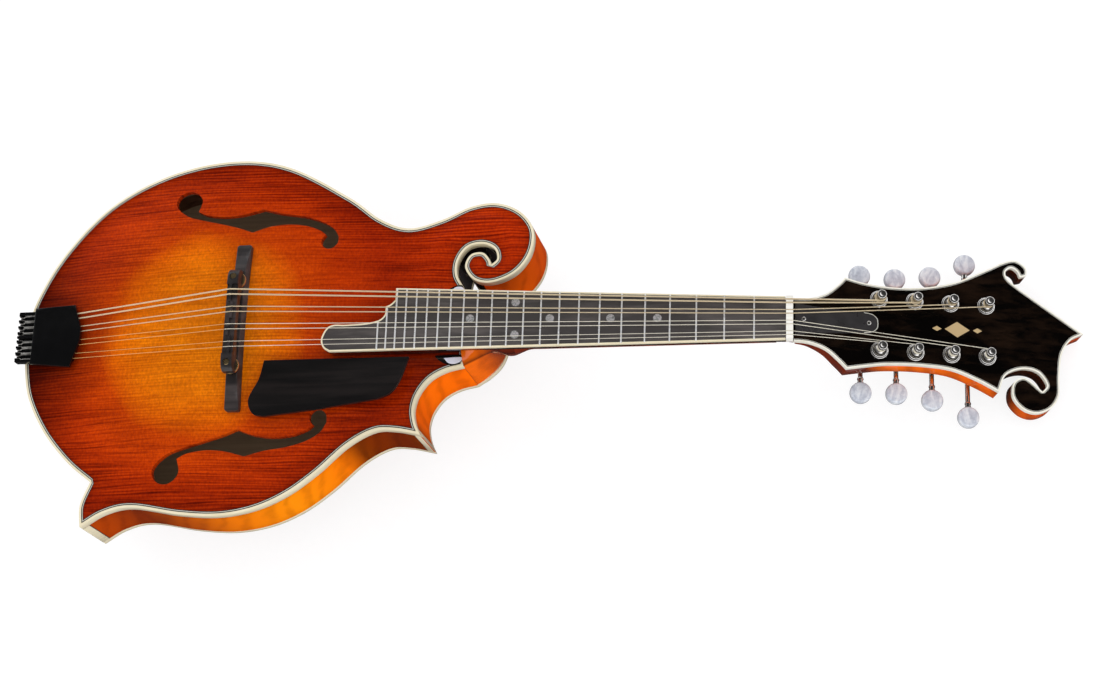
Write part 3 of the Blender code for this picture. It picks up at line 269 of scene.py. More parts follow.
def body_sections():
    """The body's edge, seen from the front, as smooth runs that meet in corners."""
    bass = smooth([
        (0, 0), (3.6, 27), (20.8, 61.5), (51, 95), (91, 116), (136, 123.7), (176, 117),
        (219, 93), (241, 76.5), (261, 69), (283, 73.8), (302, 82), (319, 83.8), (334, 78),
        (343.5, 67), (345, 55), (341, 43), (332, 33.5), (318, 28.5), (306.5, 31),
        (300.2, 40), (303.5, 48.4), (311.5, 49.6), (316.4, 44.5), (317.4, 40.8),
    ])
    slot = smooth([
        (317.4, 40.8), (321.3, 45), (319, 52), (311, 55.6), (301.5, 53.6), (295.6, 45),
        (295.2, 35), (300, 26), (JOINT_STATION, 21.5),
    ])
    joint = [Vector((JOINT_STATION, 21.5)), Vector((JOINT_STATION, -27.5))]
    cutaway = smooth([
        (JOINT_STATION, -27.5), (290.5, -30.2), (280.6, -35.7), (273.8, -44.6),
        (271, -54.5), (272.3, -64), (276, -72.5),
    ])
    waist = smooth([
        (276, -72.5), (259, -69), (245, -69.3), (228, -78.6), (209, -95.8), (190, -109.6),
        (169, -118.8), (145, -122.8), (118, -121.2), (86, -116), (67, -119.5), (51.5, -128.5),
    ])
    point = smooth([(51.5, -128.5), (50.2, -114), (55.6, -98.5)])
    tail = smooth([(55.6, -98.5), (38, -84.6), (19.6, -64), (6, -40), (0.8, -18), (0, 0)])
    return [bass, slot, joint, cutaway, waist, point, tail]


def back_sections():
    """The back's edge: as the body's, with a round button that carries the neck's heel."""
    bass, slot, joint, cutaway, waist, point, tail = body_sections()
    button = smooth([
        (JOINT_STATION, 21.5), (311, 19.5), (318.5, 12.5), (HEEL_STATION, 0), (318.5, -13),
        (311, -21.5), (JOINT_STATION, -27.5),
    ])
    return [bass, slot, button, cutaway, waist, point, tail]


def headstock_sections():
    """The headstock's edge in its own frame: along from the nut, and across to the bass side."""
    bass_flare = smooth([(1, 14.3), (10, 15), (20, 18.6), (28, 25.3), (32.6, 30.4)])
    bass_side = smooth([
        (32.6, 30.4), (46, 27.3), (63, 25.8), (82, 26.8), (103, 31.8), (123, 41.3),
        (135, 47.6), (143, 49.4), (149.5, 45.2), (150, 39.8), (145.6, 38),
    ])
    bass_hook = smooth([(145.6, 38), (143.8, 42), (140, 44), (136.4, 41), (138, 36), (145.5, 29.9)])
    brow = [Vector((145.5, 29.9)), Vector((185.5, 2.2))]
    treble_scroll = smooth([
        (185.5, 2.2), (177, -2.6), (171, -12.5), (169, -27), (168.2, -39.5), (163, -48.2),
        (154, -52.4), (145, -50.3), (138.6, -42.6), (139.4, -33), (147, -29.5), (157.7, -37.8),
    ])
    treble_slot = smooth([
        (157.7, -37.8), (160.6, -33), (155, -25.2), (145, -23.6), (134.5, -28.4), (129.7, -39.6),
    ])
    treble_side = smooth([
        (129.7, -39.6), (117, -33.2), (100, -27), (80, -25.4), (60, -26), (46, -28), (33, -30.4),
    ])
    treble_flare = smooth([(33, -30.4), (28, -25.3), (20, -18.6), (10, -15), (1, -14.3)])
    heel = [Vector((1, -14.3)), Vector((1, 14.3))]
    return [
        bass_flare, bass_side, bass_hook, brow, treble_scroll, treble_slot, treble_side,
        treble_flare, heel,
    ]


def f_hole_outline(side):
    """One f-shaped sound hole; side is +1 for the bass hole and -1 for the treble hole."""
    runs = [smooth(knots) for knots in (
        [(116, 85.9), (121.7, 83.1), (129, 81.6), (138, 81), (149, 82.1), (161.6, 85.4)],
        [(161.6, 85.4), (174, 82), (189, 79.5), (201.5, 75.6), (210.5, 70), (214.6, 64)],
        [(214.6, 64), (214.5, 59.2), (211.4, 55.4), (207.2, 55), (204, 58), (203.7, 62), (205.9, 65.3)],
        [(205.9, 65.3), (201.5, 68.6), (192, 72.1), (180, 73.3), (168, 72), (156, 68)],
        [(156, 68), (146, 71.8), (132, 75.8), (119, 79.3), (110, 82.2), (103, 86.8)],
        [(103, 86.8), (99.3, 91.8), (99.7, 97.4), (103.9, 101.2), (109.9, 101.7), (115.2, 98.4),
         (117.6, 93.4), (116, 85.9)],
    )]
    return [Vector((p.x, side * p.y)) for run in runs for p in run[:-1]]


def crossing(a, b, c, d):
    """Where segment a-b crosses segment c-d, or None."""
    along = b - a
    other = d - c
    turn = along.cross(other)
    if abs(turn) < 1e-9:
        return None
    t = (c - a).cross(other) / turn
    s = (c - a).cross(along) / turn
    if 0 <= t <= 1 and 0 <= s <= 1:
        return a + along * t
    return None


def trimmed(first, second):
    """Cut two runs where the first crosses the second, so that they meet in one corner."""
    for i in range(len(first) - 1, 0, -1):
        for j in range(len(second) - 1):
            corner = crossing(first[i - 1], first[i], second[j], second[j + 1])
            if corner is not None:
                return first[:i] + [corner], [corner] + second[j + 1:]
    return first, second


def offset_path(path, distance):
    """A path moved to its right-hand side."""
    moved = []
    for index, point in enumerate(path):
        along = (path[min(index + 1, len(path) - 1)] - path[max(index - 1, 0)]).normalized()
        moved.append(point + Vector((along.y, -along.x)) * distance)
    return moved


def inset(sections, distance):
    """Every run moved inwards by a distance, and cut again where neighbours meet."""
    moved = [offset_path(section, distance) for section in sections]
    for index in range(len(moved)):
        following = (index + 1) % len(moved)
        moved[index], moved[following] = trimmed(moved[index], moved[following])
    return moved


def loop(sections):
    """One closed loop of points through all the runs, without repeats."""
    points = []
    for section in sections:
        for point in section:
            if not points or (point - points[-1]).length > 0.02:
                points.append(point)
    if (points[0] - points[-1]).length < 0.02:
        points.pop()
    return points


def circle(radius, count=48, centre=(0, 0)):
    """A round outline."""
    turn = 2 * math.pi / count
    return [
        Vector((centre[0] + radius * math.cos(turn * k), centre[1] + radius * math.sin(turn * k)))
        for k in range(count)
    ]


def rectangle(low, high, corner=0.0, steps=4):
    """A four-sided outline between two corners, with its own corners rounded."""
    if not corner:
        return [Vector(p) for p in (low, (high[0], low[1]), high, (low[0], high[1]))]
    points = []
    middles = (
        (high[0] - corner, high[1] - corner, 0), (low[0] + corner, high[1] - corner, 90),
        (low[0] + corner, low[1] + corner, 180), (high[0] - corner, low[1] + corner, 270),
    )
    for x, y, start in middles:
        for step in range(steps + 1):
            angle = math.radians(start + 90 * step / steps)
            points.append(Vector((x + corner * math.cos(angle), y + corner * math.sin(angle))))
    return points


BODY = body_sections()
BACK = back_sections()
HEADSTOCK = headstock_sections()


def inside(x, y, outline):
    """Which of the points x, y lie inside a closed outline."""
    hit = np.zeros(x.shape, bool)
    for a, b in zip(outline, outline[1:] + outline[:1]):
        spans = (a.y > y) != (b.y > y)
        if a.y != b.y:
            hit ^= spans & (x < (b.x - a.x) * (y - a.y) / (b.y - a.y) + a.x)
    return hit


def edge_distance(x, y, outline):
    """How far each of the points x, y lies from an outline."""
    nearest = np.full(x.shape, 1e9)
    for a, b in zip(outline, outline[1:] + outline[:1]):
        along = b - a
        share = ((x - a.x) * along.x + (y - a.y) * along.y) / along.length_squared
        share = np.clip(share, 0, 1)
        gap = np.hypot(x - a.x - along.x * share, y - a.y - along.y * share)
        nearest = np.minimum(nearest, gap)
    return nearest


def eased(value):
    """0 below 0, 1 above 1, and a soft step in between."""
    value = np.clip(value, 0, 1)
    return value * value * (3 - 2 * value)


# ---------------------------------------------------------------- carved surfaces


def arch_field():
    """Height of the carved arch, as the shape of a skin blown up over the body's edge."""
    edge = loop(inset(BODY, ARCH_INSET))
    xs = np.arange(FIELD_LOW[0], FIELD_HIGH[0] + FIELD_CELL, FIELD_CELL)
    ys = np.arange(FIELD_LOW[1], FIELD_HIGH[1] + FIELD_CELL, FIELD_CELL)
    grid_x, grid_y = np.meshgrid(xs, ys, indexing="ij")
    wood = inside(grid_x, grid_y, edge)
    height = np.zeros(grid_x.shape)
    for _ in range(ARCH_ROUNDS):
        around = height[:-2, 1:-1] + height[2:, 1:-1] + height[1:-1, :-2] + height[1:-1, 2:]
        height[1:-1, 1:-1] = np.where(wood[1:-1, 1:-1], around / 4 + 1, 0)
    height = (height / height.max()) ** ARCH_POWER
    for _ in range(SOFTENING_ROUNDS):
        around = height[:-2, 1:-1] + height[2:, 1:-1] + height[1:-1, :-2] + height[1:-1, 2:]
        height[1:-1, 1:-1] = (height[1:-1, 1:-1] + around / 4) / 2
    return xs, ys, height


FIELD_X, FIELD_Y, FIELD = arch_field()


def blend_weights(t):
    """Weights of four neighbours for a smooth curve through them."""
    return (
        (-t + 2 * t ** 2 - t ** 3) / 2, (2 - 5 * t ** 2 + 3 * t ** 3) / 2,
        (t + 4 * t ** 2 - 3 * t ** 3) / 2, (-t ** 2 + t ** 3) / 2,
    )


def arch(x, y):
    """Arch height at stations and distances across, from 0 at the rim to 1 at the crown."""
    column = np.clip((x - FIELD_X[0]) / FIELD_CELL, 1, len(FIELD_X) - 2.001)
    row = np.clip((y - FIELD_Y[0]) / FIELD_CELL, 1, len(FIELD_Y) - 2.001)
    i = np.floor(column).astype(int)
    j = np.floor(row).astype(int)
    total = np.zeros(np.shape(x))
    for a, weight_a in enumerate(blend_weights(column - i)):
        for b, weight_b in enumerate(blend_weights(row - j)):
            column_at = np.minimum(i + a - 1, len(FIELD_X) - 1)
            row_at = np.minimum(j + b - 1, len(FIELD_Y) - 1)
            total = total + weight_a * weight_b * FIELD[column_at, row_at]
    return np.maximum(total, 0)


def ridge(x, y):
    """The crest that is carved along the middle of the scroll's arm."""
    arm = eased((x - 262) / 34) * eased((y - 24) / 12)
    distance = np.clip((edge_distance(x, y, loop(BODY)) - RIDGE_EDGE) / RIDGE_REACH, 0, 1)
    return RIDGE_HEIGHT * arm * distance ** RIDGE_POWER


def top_surface(x, y):
    """Height of the soundboard's outer face."""
    return RIM_TOP + TOP_ARCH * arch(x, y) + ridge(x, y)


def plain_top(x, y):
    """Height of the soundboard where fittings stand on it, clear of the scroll."""
    return RIM_TOP + TOP_ARCH * arch(x, y)


def back_surface(x, y):
    """Height of the back's outer face."""
    return -RIM_TOP - BACK_ARCH * arch(x, y) - ridge(x, y) / 2


# ---------------------------------------------------------------- modelling tools


def made(name, points, faces, place=None):
    """A mesh object in the row frame from points in millimetres."""
    cloud = np.asarray(points, float)
    if place is not None:
        turn = np.array(place)
        cloud = cloud @ turn[:3, :3].T + turn[:3, 3]
    mesh = bpy.data.meshes.new(name)
    mesh.from_pydata((cloud * MM).tolist(), [], [list(map(int, face)) for face in faces])
    mesh.update()
    item = bpy.data.objects.new(name, mesh)
    bpy.context.scene.collection.objects.link(item)
    return item


def tidied(item, weld=True):
    """Weld doubled points and turn every face outwards."""
    work = bmesh.new()
    work.from_mesh(item.data)
    if weld:
        bmesh.ops.remove_doubles(work, verts=work.verts, dist=WELD * MM)
        bmesh.ops.dissolve_degenerate(work, dist=WELD * MM, edges=work.edges)
    bmesh.ops.recalc_face_normals(work, faces=work.faces)
    work.to_mesh(item.data)
    work.free()
    return item


def baked(item):
    """Apply an object's modifiers."""
    view = bpy.context.evaluated_depsgraph_get()
    mesh = bpy.data.meshes.new_from_object(item.evaluated_get(view))
    item.modifiers.clear()
    item.data = mesh
    return tidied(item)


def filled(outlines, cell):
    """A net of triangles inside the first outline and outside the others."""
    points = []
    edges = []
    for outline in outlines:
        first = len(points)
        points += [(p[0], p[1]) for p in outline]
        count = len(outline)
        edges += [(first + k, first + (k + 1) % count) for k in range(count)]
    if cell:
        rim = np.array(points)
        low, high = rim.min(axis=0), rim.max(axis=0)
        xs = np.arange(low[0] + cell / 2, high[0], cell)
        ys = np.arange(low[1] + cell / 2, high[1], cell)
        grid_x, grid_y = (grid.ravel() for grid in np.meshgrid(xs, ys, indexing="ij"))
        wanted = inside(grid_x, grid_y, outlines[0])
        for hole in outlines[1:]:
            wanted &= ~inside(grid_x, grid_y, hole)
        for outline in outlines:
            wanted &= edge_distance(grid_x, grid_y, outline) > cell * 0.45
        points += list(zip(grid_x[wanted], grid_y[wanted]))
    flat, _, faces, *_ = delaunay_2d_cdt([Vector(p) for p in points], edges, [], 1, 1e-5)
    flat = np.array([(p.x, p.y) for p in flat])
    faces = np.array(faces)
    middle = flat[faces].mean(axis=1)
    wanted = inside(middle[:, 0], middle[:, 1], outlines[0])
    for hole in outlines[1:]:
        wanted &= ~inside(middle[:, 0], middle[:, 1], hole)
    faces = faces[wanted]
    a, b, c = (flat[faces[:, k]] for k in range(3))
    area = (b[:, 0] - a[:, 0]) * (c[:, 1] - a[:, 1]) - (b[:, 1] - a[:, 1]) * (c[:, 0] - a[:, 0])
    faces[area < 0] = faces[area < 0][:, ::-1]
    return flat, faces[np.abs(area) > 1e-9]


def slab(name, outlines, high, low, place=BODY_FRAME, cell=0):
    """A solid between two heights, which are numbers or functions of x and y."""
    if isinstance(outlines[0], Vector):
        outlines = [outlines]
    flat, faces = filled(outlines, cell)
    x, y = flat[:, 0], flat[:, 1]
    upper = high(x, y) if callable(high) else np.full(len(flat), high)
    lower = low(x, y) if callable(low) else np.full(len(flat), low)
    count = len(flat)
    points = np.vstack([np.column_stack([x, y, upper]), np.column_stack([x, y, lower])])
    used = {(int(a), int(b)) for face in faces for a, b in zip(face, np.roll(face, -1))}
    walls = [(a, a + count, b + count, b) for a, b in used if (b, a) not in used]
    under = [face[::-1] + count for face in faces]
    item = made(name, points, list(faces) + under + sorted(walls), place)
    item["top_faces"] = len(faces)
    return item


def loft(name, rings, place=None, caps=True):
    """A skin over rings of equal count, with lengths along it as its U and turns round it as its V."""
    rings = np.asarray(rings, float)
    length, count = rings.shape[:2]
    faces = []
    turns = []
    steps = np.linalg.norm(np.diff(rings.mean(axis=1), axis=0), axis=1)
    travel = np.concatenate([[0], np.cumsum(steps)]) * MM
    for i in range(length - 1):
        for k in range(count):
            after = (k + 1) % count
            faces.append((i * count + k, i * count + after, (i + 1) * count + after, (i + 1) * count + k))
            low, high = k / count, (k + 1) / count
            turns += [(travel[i], low), (travel[i], high), (travel[i + 1], high), (travel[i + 1], low)]
    if caps:
        faces.append(tuple(range(count))[::-1])
        faces.append(tuple(range((length - 1) * count, length * count)))
        turns += [(travel[0], 0)] * count + [(travel[-1], 0)] * count
    item = made(name, rings.reshape(-1, 3), faces, place)
    layer = item.data.uv_layers.new(name="along")
    layer.data.foreach_set("uv", np.array(turns, np.float32).ravel())
    return item


def turned(name, profile, place, sides=40):
    """A piece turned about Z; the profile runs down its outer side."""
    angles = np.linspace(0, 2 * np.pi, sides, endpoint=False)
    rings = [[(r * math.cos(a), r * math.sin(a), z) for a in angles] for r, z in profile]
    item = loft(name, rings, place, caps=False)
    return tidied(item)


def tube_rings(path, radius, sides):
    """Rings of a round wire along a path of points, carried along without twist."""
    path = np.array([tuple(point) for point in path], float)
    radii = np.broadcast_to(np.asarray(radius, float), (len(path),))
    along = np.gradient(path, axis=0)
    along /= np.linalg.norm(along, axis=1)[:, None]
    side = np.cross(along[0], (0.3, 0.2, 1.0))
    side /= np.linalg.norm(side)
    rings = []
    for point, direction, r in zip(path, along, radii):
        side = side - direction * np.dot(side, direction)
        side /= np.linalg.norm(side)
        other = np.cross(direction, side)
        angles = np.linspace(0, 2 * np.pi, sides, endpoint=False)
        rings.append([point + r * (math.cos(a) * side + math.sin(a) * other) for a in angles])
    return rings


def wire(name, path, radius, place=None, sides=10):
    """A round wire with closed ends."""
    return loft(name, tube_rings(path, radius, sides), place)


def combine(target, tool, operation):
    """Cut, join or clip one solid with another, which is used up."""
    change = target.modifiers.new(operation, "BOOLEAN")
    change.operation = operation
    change.solver = "EXACT"
    change.object = tool
    bpy.context.view_layer.update()
    baked(target)
    bpy.data.objects.remove(tool)
    return target


def rounded(item, width, segments=2, angle=50):
    """Ease a solid's sharp edges."""
    tidied(item)
    change = item.modifiers.new("eased", "BEVEL")
    change.width = width * MM
    change.segments = segments
    change.limit_method = "ANGLE"
    change.angle_limit = math.radians(angle)
    change.use_clamp_overlap = True
    bpy.context.view_layer.update()
    return baked(item)


def merged(name, items):
    """Several solids gathered into one object."""
    work = bmesh.new()
    for item in items:
        work.from_mesh(item.data)
        bpy.data.objects.remove(item)
    mesh = bpy.data.meshes.new(name)
    work.to_mesh(mesh)
    work.free()
    gathered = bpy.data.objects.new(name, mesh)
    bpy.context.scene.collection.objects.link(gathered)
    return gathered


def slotted(name, profile, spot, sides, slot, levels):
    """A turned screw head with a straight slot of a half length and half width between two levels."""
    head = turned(name, profile, spot, sides)
    cutter = slab("slot", rectangle((-slot[0], -slot[1]), slot), *levels, spot)
    return combine(head, cutter, "DIFFERENCE")


def dress(item, paint, body="root", stands_for=(), soft=True, even=False):
    """Give a piece its material and smooth shading, and let it ride on its body."""
    item.data.materials.clear()
    item.data.materials.append(PAINTS[paint])
    if soft:
        item.data.shade_smooth()
        item.data.set_sharp_from_angle(angle=math.radians(42))
    if even:
        item.modifiers.new("even", "WEIGHTED_NORMAL").keep_sharp = True
    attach(item, body)
    if stands_for:
        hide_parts(*stands_for)


# ---------------------------------------------------------------- materials

PLAIN = (1, 1, 1)
RIM_SHADE_REACH = 30.0
GRAIN_FADE_REACH = 66.0
SUNBURST_END = 2.6
SPRUCE_STOPS = [
    (0.0, (0.76, 0.210, 0.002)), (0.25, (0.73, 0.170, 0.0014)), (0.345, (0.66, 0.118, 0.001)),
    (0.42, (0.50, 0.050, 0.0009)), (0.56, (0.46, 0.036, 0.0009)), (0.74, (0.34, 0.020, 0.0008)),
    (0.86, (0.44, 0.030, 0.001)), (1.0, (0.50, 0.034, 0.0012)),
]
BACK_STOPS = [
    (0.0, (0.80, 0.27, 0.012)), (0.25, (0.72, 0.20, 0.007)), (0.45, (0.58, 0.085, 0.003)),
    (0.65, (0.42, 0.035, 0.002)), (1.0, (0.20, 0.014, 0.0015)),
]
# Rib colour along the body: the maple's orange-red, with painted light and shade in its brighter and darker
# stretches
RIB_TONE_AND_PAINTED_LIGHT = [
    (0.0, (0.42, 0.045, 0.002)), (0.20, (0.44, 0.052, 0.001)), (0.28, (0.20, 0.022, 0.001)),
    (0.37, (0.48, 0.080, 0.001)), (0.46, (0.85, 0.190, 0.001)), (0.56, (1.0, 0.280, 0.002)),
    (0.64, (1.0, 0.220, 0.001)), (0.70, (0.85, 0.110, 0.0015)), (0.76, (0.62, 0.066, 0.0015)),
    (0.80, (1.0, 0.165, 0.001)), (0.90, (1.0, 0.160, 0.001)), (1.0, (0.66, 0.070, 0.0015)),
]
NECK_STOPS = [
    (0.0, (1.0, 0.170, 0.001)), (0.062, (0.95, 0.150, 0.001)), (0.086, (0.20, 0.022, 0.006)),
    (0.12, (0.17, 0.020, 0.006)), (0.35, (0.34, 0.055, 0.008)), (0.52, (0.26, 0.036, 0.008)),
    (0.575, (0.16, 0.019, 0.005)), (0.665, (0.14, 0.016, 0.004)), (0.70, (0.90, 0.150, 0.002)),
    (0.80, (0.90, 0.140, 0.002)), (1.0, (0.50, 0.055, 0.002)),
]


class Recipe:
    """A node-based material that is being put together."""

    def __init__(self, name, roughness, metallic=0.0, coat=0.0, coat_roughness=0.05):
        self.material = bpy.data.materials.new(name)
        self.material.use_nodes = True
        self.tree = self.material.node_tree
        self.shader = self.tree.nodes["Principled BSDF"]
        self.put("Roughness", roughness)
        self.put("Metallic", metallic)
        self.put("Coat Weight", coat)
        self.put("Coat Roughness", coat_roughness)

    def feed(self, socket, value):
        """A value, or another node's output, goes into a socket."""
        if isinstance(value, bpy.types.NodeSocket):
            self.tree.links.new(value, socket)
        else:
            socket.default_value = value

    def put(self, name, value):
        """Set one of the shader's sockets."""
        self.feed(self.shader.inputs[name], value)

    def node(self, kind, inputs, output=0, **settings):
        """One node with its settings and inputs; gives back an output."""
        fresh = self.tree.nodes.new("ShaderNode" + kind)
        for key, value in settings.items():
            setattr(fresh, key, value)
        for key, value in inputs.items():
            self.feed(fresh.inputs[key], value)
        return fresh.outputs[output]

    def place(self, scale=PLAIN, shift=(0, 0, 0), turn=(0, 0, 0)):
        """Coordinates in metres, stretched."""
        spot = self.node("TexCoord", {}, "Object")
        return self.node("Mapping", {"Vector": spot, "Scale": scale, "Location": shift, "Rotation": turn})

    def axis(self, number, scale=PLAIN, shift=(0, 0, 0)):
        """One coordinate: 0 along the body, 1 across it, 2 up."""
        return self.node("SeparateXYZ", {0: self.place(scale, shift)}, number)

    def rail(self):
        """Length along a lofted piece, in metres."""
        return self.node("SeparateXYZ", {0: self.node("TexCoord", {}, "UV")}, 0)

    def vector(self, x, y=0.0):
        """Coordinates put together from two numbers."""
        return self.node("CombineXYZ", {0: x, 1: y})

    def noise(self, where, scale=1.0, detail=3.0, roughness=0.55, distortion=0.0):
        """Soft random variation; where is a node's output, or how far to stretch the plain coordinates."""
        return self.node("TexNoise", {
            "Vector": self.place(where) if isinstance(where, tuple) else where,
            "Scale": scale, "Detail": detail, "Roughness": roughness, "Distortion": distortion,
        })

    def bands(self, vector, scale, distortion, detail=2.0, detail_scale=1.0):
        """Parallel bands across X, bent at random."""
        return self.node("TexWave", {
            "Vector": vector, "Scale": scale, "Distortion": distortion, "Detail": detail,
            "Detail Scale": detail_scale,
        }, 1, wave_type="BANDS", bands_direction="X", wave_profile="SIN")

    def ramp(self, value, stops):
        """Colours, or greys, along a value from 0 to 1."""
        output = self.node("ValToRGB", {"Fac": value})
        fill_ramp(output.node.color_ramp, stops)
        return output

    def mix(self, share, first, second, blend="MIX"):
        """Two colours mixed."""
        first, second = ((*value, 1) if isinstance(value, tuple) else value for value in (first, second))
        return self.node("Mix", {0: share, 6: first, 7: second}, 2, data_type="RGBA", blend_type=blend)

    def shade(self, colour, value, stops, share=1.0):
        """A colour multiplied by a ramp along a value."""
        return self.mix(share, colour, self.ramp(value, stops), "MULTIPLY")

    def maths(self, operation, first, second=0.0, clamp=False):
        """One sum."""
        return self.node("Math", {0: first, 1: second}, operation=operation, use_clamp=clamp)

    def times(self, first, second):
        """One number times another."""
        return self.maths("MULTIPLY", first, second)

    def plus(self, first, second):
        """One number and another."""
        return self.maths("ADD", first, second)

    def distance(self, centre, reach):
        """How far a point of the plan lies from a centre, as a share of the reach along X and along Y."""
        scale = (1 / reach[0], 1 / reach[1], 0)
        shift = (-centre[0] / reach[0], -centre[1] / reach[1], 0)
        return self.node("VectorMath", {0: self.place(scale, shift)}, 1, operation="LENGTH")

    def oval(self, colour, centre, reach, stops):
        """A colour shaded round a centre; the ramp ends at twice the reach."""
        return self.shade(colour, self.times(self.distance(centre, reach), 0.5), stops)

    def bump(self, height, strength, distance=0.0002, socket="Normal"):
        """Fine relief."""
        self.put(socket, self.node("Bump", {"Height": height, "Strength": strength, "Distance": distance}))


def fill_ramp(scale, stops):
    """Give a colour ramp its stops; a single number is a grey."""
    while len(scale.elements) < len(stops):
        scale.elements.new(0.5)
    for element, (position, colour) in zip(scale.elements, stops):
        element.position = position
        element.color = (*colour, 1) if isinstance(colour, tuple) else (colour, colour, colour, 1)


def wear(recipe, low, high, scale=40):
    """Uneven polish: roughness that drifts between two values."""
    drift = recipe.noise(PLAIN, scale, 4)
    recipe.put("Roughness", recipe.node("MapRange", {"Value": drift, 1: 0.3, 2: 0.7, 3: low, 4: high}))


def lacquer(recipe, depth=1.0):
    """A clear gloss coat with the faint swell of hand polishing."""
    recipe.put("Coat Weight", depth)
    recipe.put("Coat Roughness", 0.07)
    recipe.put("Coat IOR", 1.45)
    recipe.put("Specular IOR Level", 0.0)
    recipe.bump(recipe.noise(PLAIN, 60, 2), 0.06, 0.0004, "Coat Normal")


def translucent(recipe, weight, radius):
    """Let light a little way into the surface."""
    recipe.put("Subsurface Weight", weight)
    recipe.put("Subsurface Radius", radius)


def sunburst(recipe, stops, centre, reach):
    """Colours that spread from the middle of the body to its edges."""
    drift = recipe.times(recipe.plus(recipe.noise(PLAIN, 22, 3), -0.5), 0.28)
    spread = recipe.plus(recipe.distance(centre, reach), drift)
    return recipe.ramp(recipe.times(spread, 1 / SUNBURST_END), stops)


def spruce():
    """Sunburst spruce with straight grain under gloss lacquer, darker at its rim, with painted shade at tail
    and neck joint.
    """
    recipe = Recipe("spruce_sunburst", 0.4)
    colour = sunburst(recipe, SPRUCE_STOPS, (0.1395, -0.003), (0.0665, 0.0665))
    rim = recipe.node("Attribute", {}, 2, attribute_name="rim")
    edge = recipe.times(rim, 1 / RIM_SHADE_REACH)
    colour = recipe.shade(colour, edge, [(0.06, 0.55), (0.22, 0.86), (0.6, 1.0)])
    # Painted shade round the end of the fretboard's extension at the neck joint, and a painted shadow near
    # the tail round the tailpiece
    colour = recipe.oval(colour, (0.302, -0.012), (0.05, 0.035), [(0.2, 0.5), (0.5, 1.0)])
    colour = recipe.oval(colour, (0.012, 0), (0.062, 0.075), [(0.18, 0.28), (0.55, 1.0)])

    outer = recipe.ramp(recipe.times(rim, 1 / GRAIN_FADE_REACH), [(0.1, 1.0), (1.0, 0.4)])
    along = recipe.axis(0)
    across = recipe.plus(recipe.axis(1), recipe.times(recipe.noise((6, 30, 1), 1.0, 2), 0.010))
    lanes = recipe.vector(recipe.times(along, 1.2), across)
    grain = 0.0
    for stretch, detail, roughness, share in (((16, 780, 1), 4, 0.75, 0.66), ((11, 330, 1), 3, 0.6, 0.34)):
        lane = recipe.node("VectorMath", {0: lanes, 1: stretch}, 0, operation="MULTIPLY")
        grain = recipe.plus(recipe.times(recipe.noise(lane, 1.0, detail, roughness), share), grain)
    colour = recipe.shade(colour, grain, [
        (0.38, (0.34, 0.22, 0.22)), (0.47, (0.80, 0.66, 0.66)), (0.53, (1.06, 1.04, 1.0)),
        (0.64, (1.18, 1.25, 1.1)),
    ], outer)
    rings = recipe.bands(recipe.vector(across, recipe.times(along, 0.05)), 150, 2.2)
    rings = recipe.times(rings, recipe.ramp(recipe.noise((7, 24, 1)), [(0.35, 0.25), (0.6, 1.0)]))
    colour = recipe.shade(colour, rings, [(0.25, 1.06), (0.85, (0.66, 0.46, 0.46))], outer)
    silk = recipe.noise((640, 330, 1), 1.0, 3, 0.7)
    colour = recipe.shade(colour, silk, [(0.32, (0.70, 0.62, 0.7)), (0.68, (1.18, 1.26, 1.1))], 0.8)
    patches = recipe.noise((17, 30, 1), 1.0, 4, 0.65)
    colour = recipe.shade(colour, patches, [(0.3, (0.72, 0.60, 0.7)), (0.68, (1.12, 1.2, 1.1))], 0.85)
    recipe.put("Base Color", colour)
    wear(recipe, 0.34, 0.46)
    lacquer(recipe, 0.8)
    return recipe.material


def flames(recipe, colour, across, along, depth):
    """The rippled figure of curly maple, as dark bands across the wood."""
    ripple = recipe.bands(across, 22, 7.5, 3, 1.4)
    ripple = recipe.times(ripple, recipe.times(recipe.noise(along), 1.7))
    return recipe.shade(colour, ripple, [
        (0.15, (1.12, 1.10, 1.05)), (0.5, (0.92, 0.84, 0.8)), (0.95, (0.42, 0.30, 0.28)),
    ], depth)


def rib_maple():
    """Flamed maple bent round the body, darker at both edges, with painted light and shade along it and
    painted shade in the hollow behind the middle point.
    """
    recipe = Recipe("rib_maple", 0.4)
    colour = recipe.ramp(recipe.axis(0, (1 / 0.36, 1, 1)), RIB_TONE_AND_PAINTED_LIGHT)
    rail = recipe.rail()
    height = recipe.axis(2)
    across = recipe.vector(recipe.plus(rail, recipe.times(height, 0.35)), recipe.times(height, 0.5))
    along = recipe.vector(recipe.times(rail, 60.0), recipe.times(height, 90.0))
    colour = flames(recipe, colour, across, along, 0.3)
    # Painted shade in the hollow behind the middle point
    colour = recipe.oval(colour, (0.264, -0.077), (0.034, 0.022), [(0.3, 0.24), (0.5, 1.0)])
    edge = recipe.times(recipe.maths("ABSOLUTE", height), 1 / (RIM_TOP * MM))
    recipe.put("Base Color", recipe.shade(colour, edge, [(0.45, 1.0), (1.0, 0.78)]))
    lacquer(recipe, 0.3)
    return recipe.material


def slot_painted_shade():
    """Near-black painted shade inside the scroll's slot."""
    recipe = Recipe("slot_painted_shade", 0.45)
    blotch = recipe.noise(PLAIN, 90)
    shade_tones = [(0.3, (0.006, 0.003, 0.002)), (0.7, (0.016, 0.006, 0.003))]
    recipe.put("Base Color", recipe.ramp(blotch, shade_tones))
    lacquer(recipe)
    return recipe.material


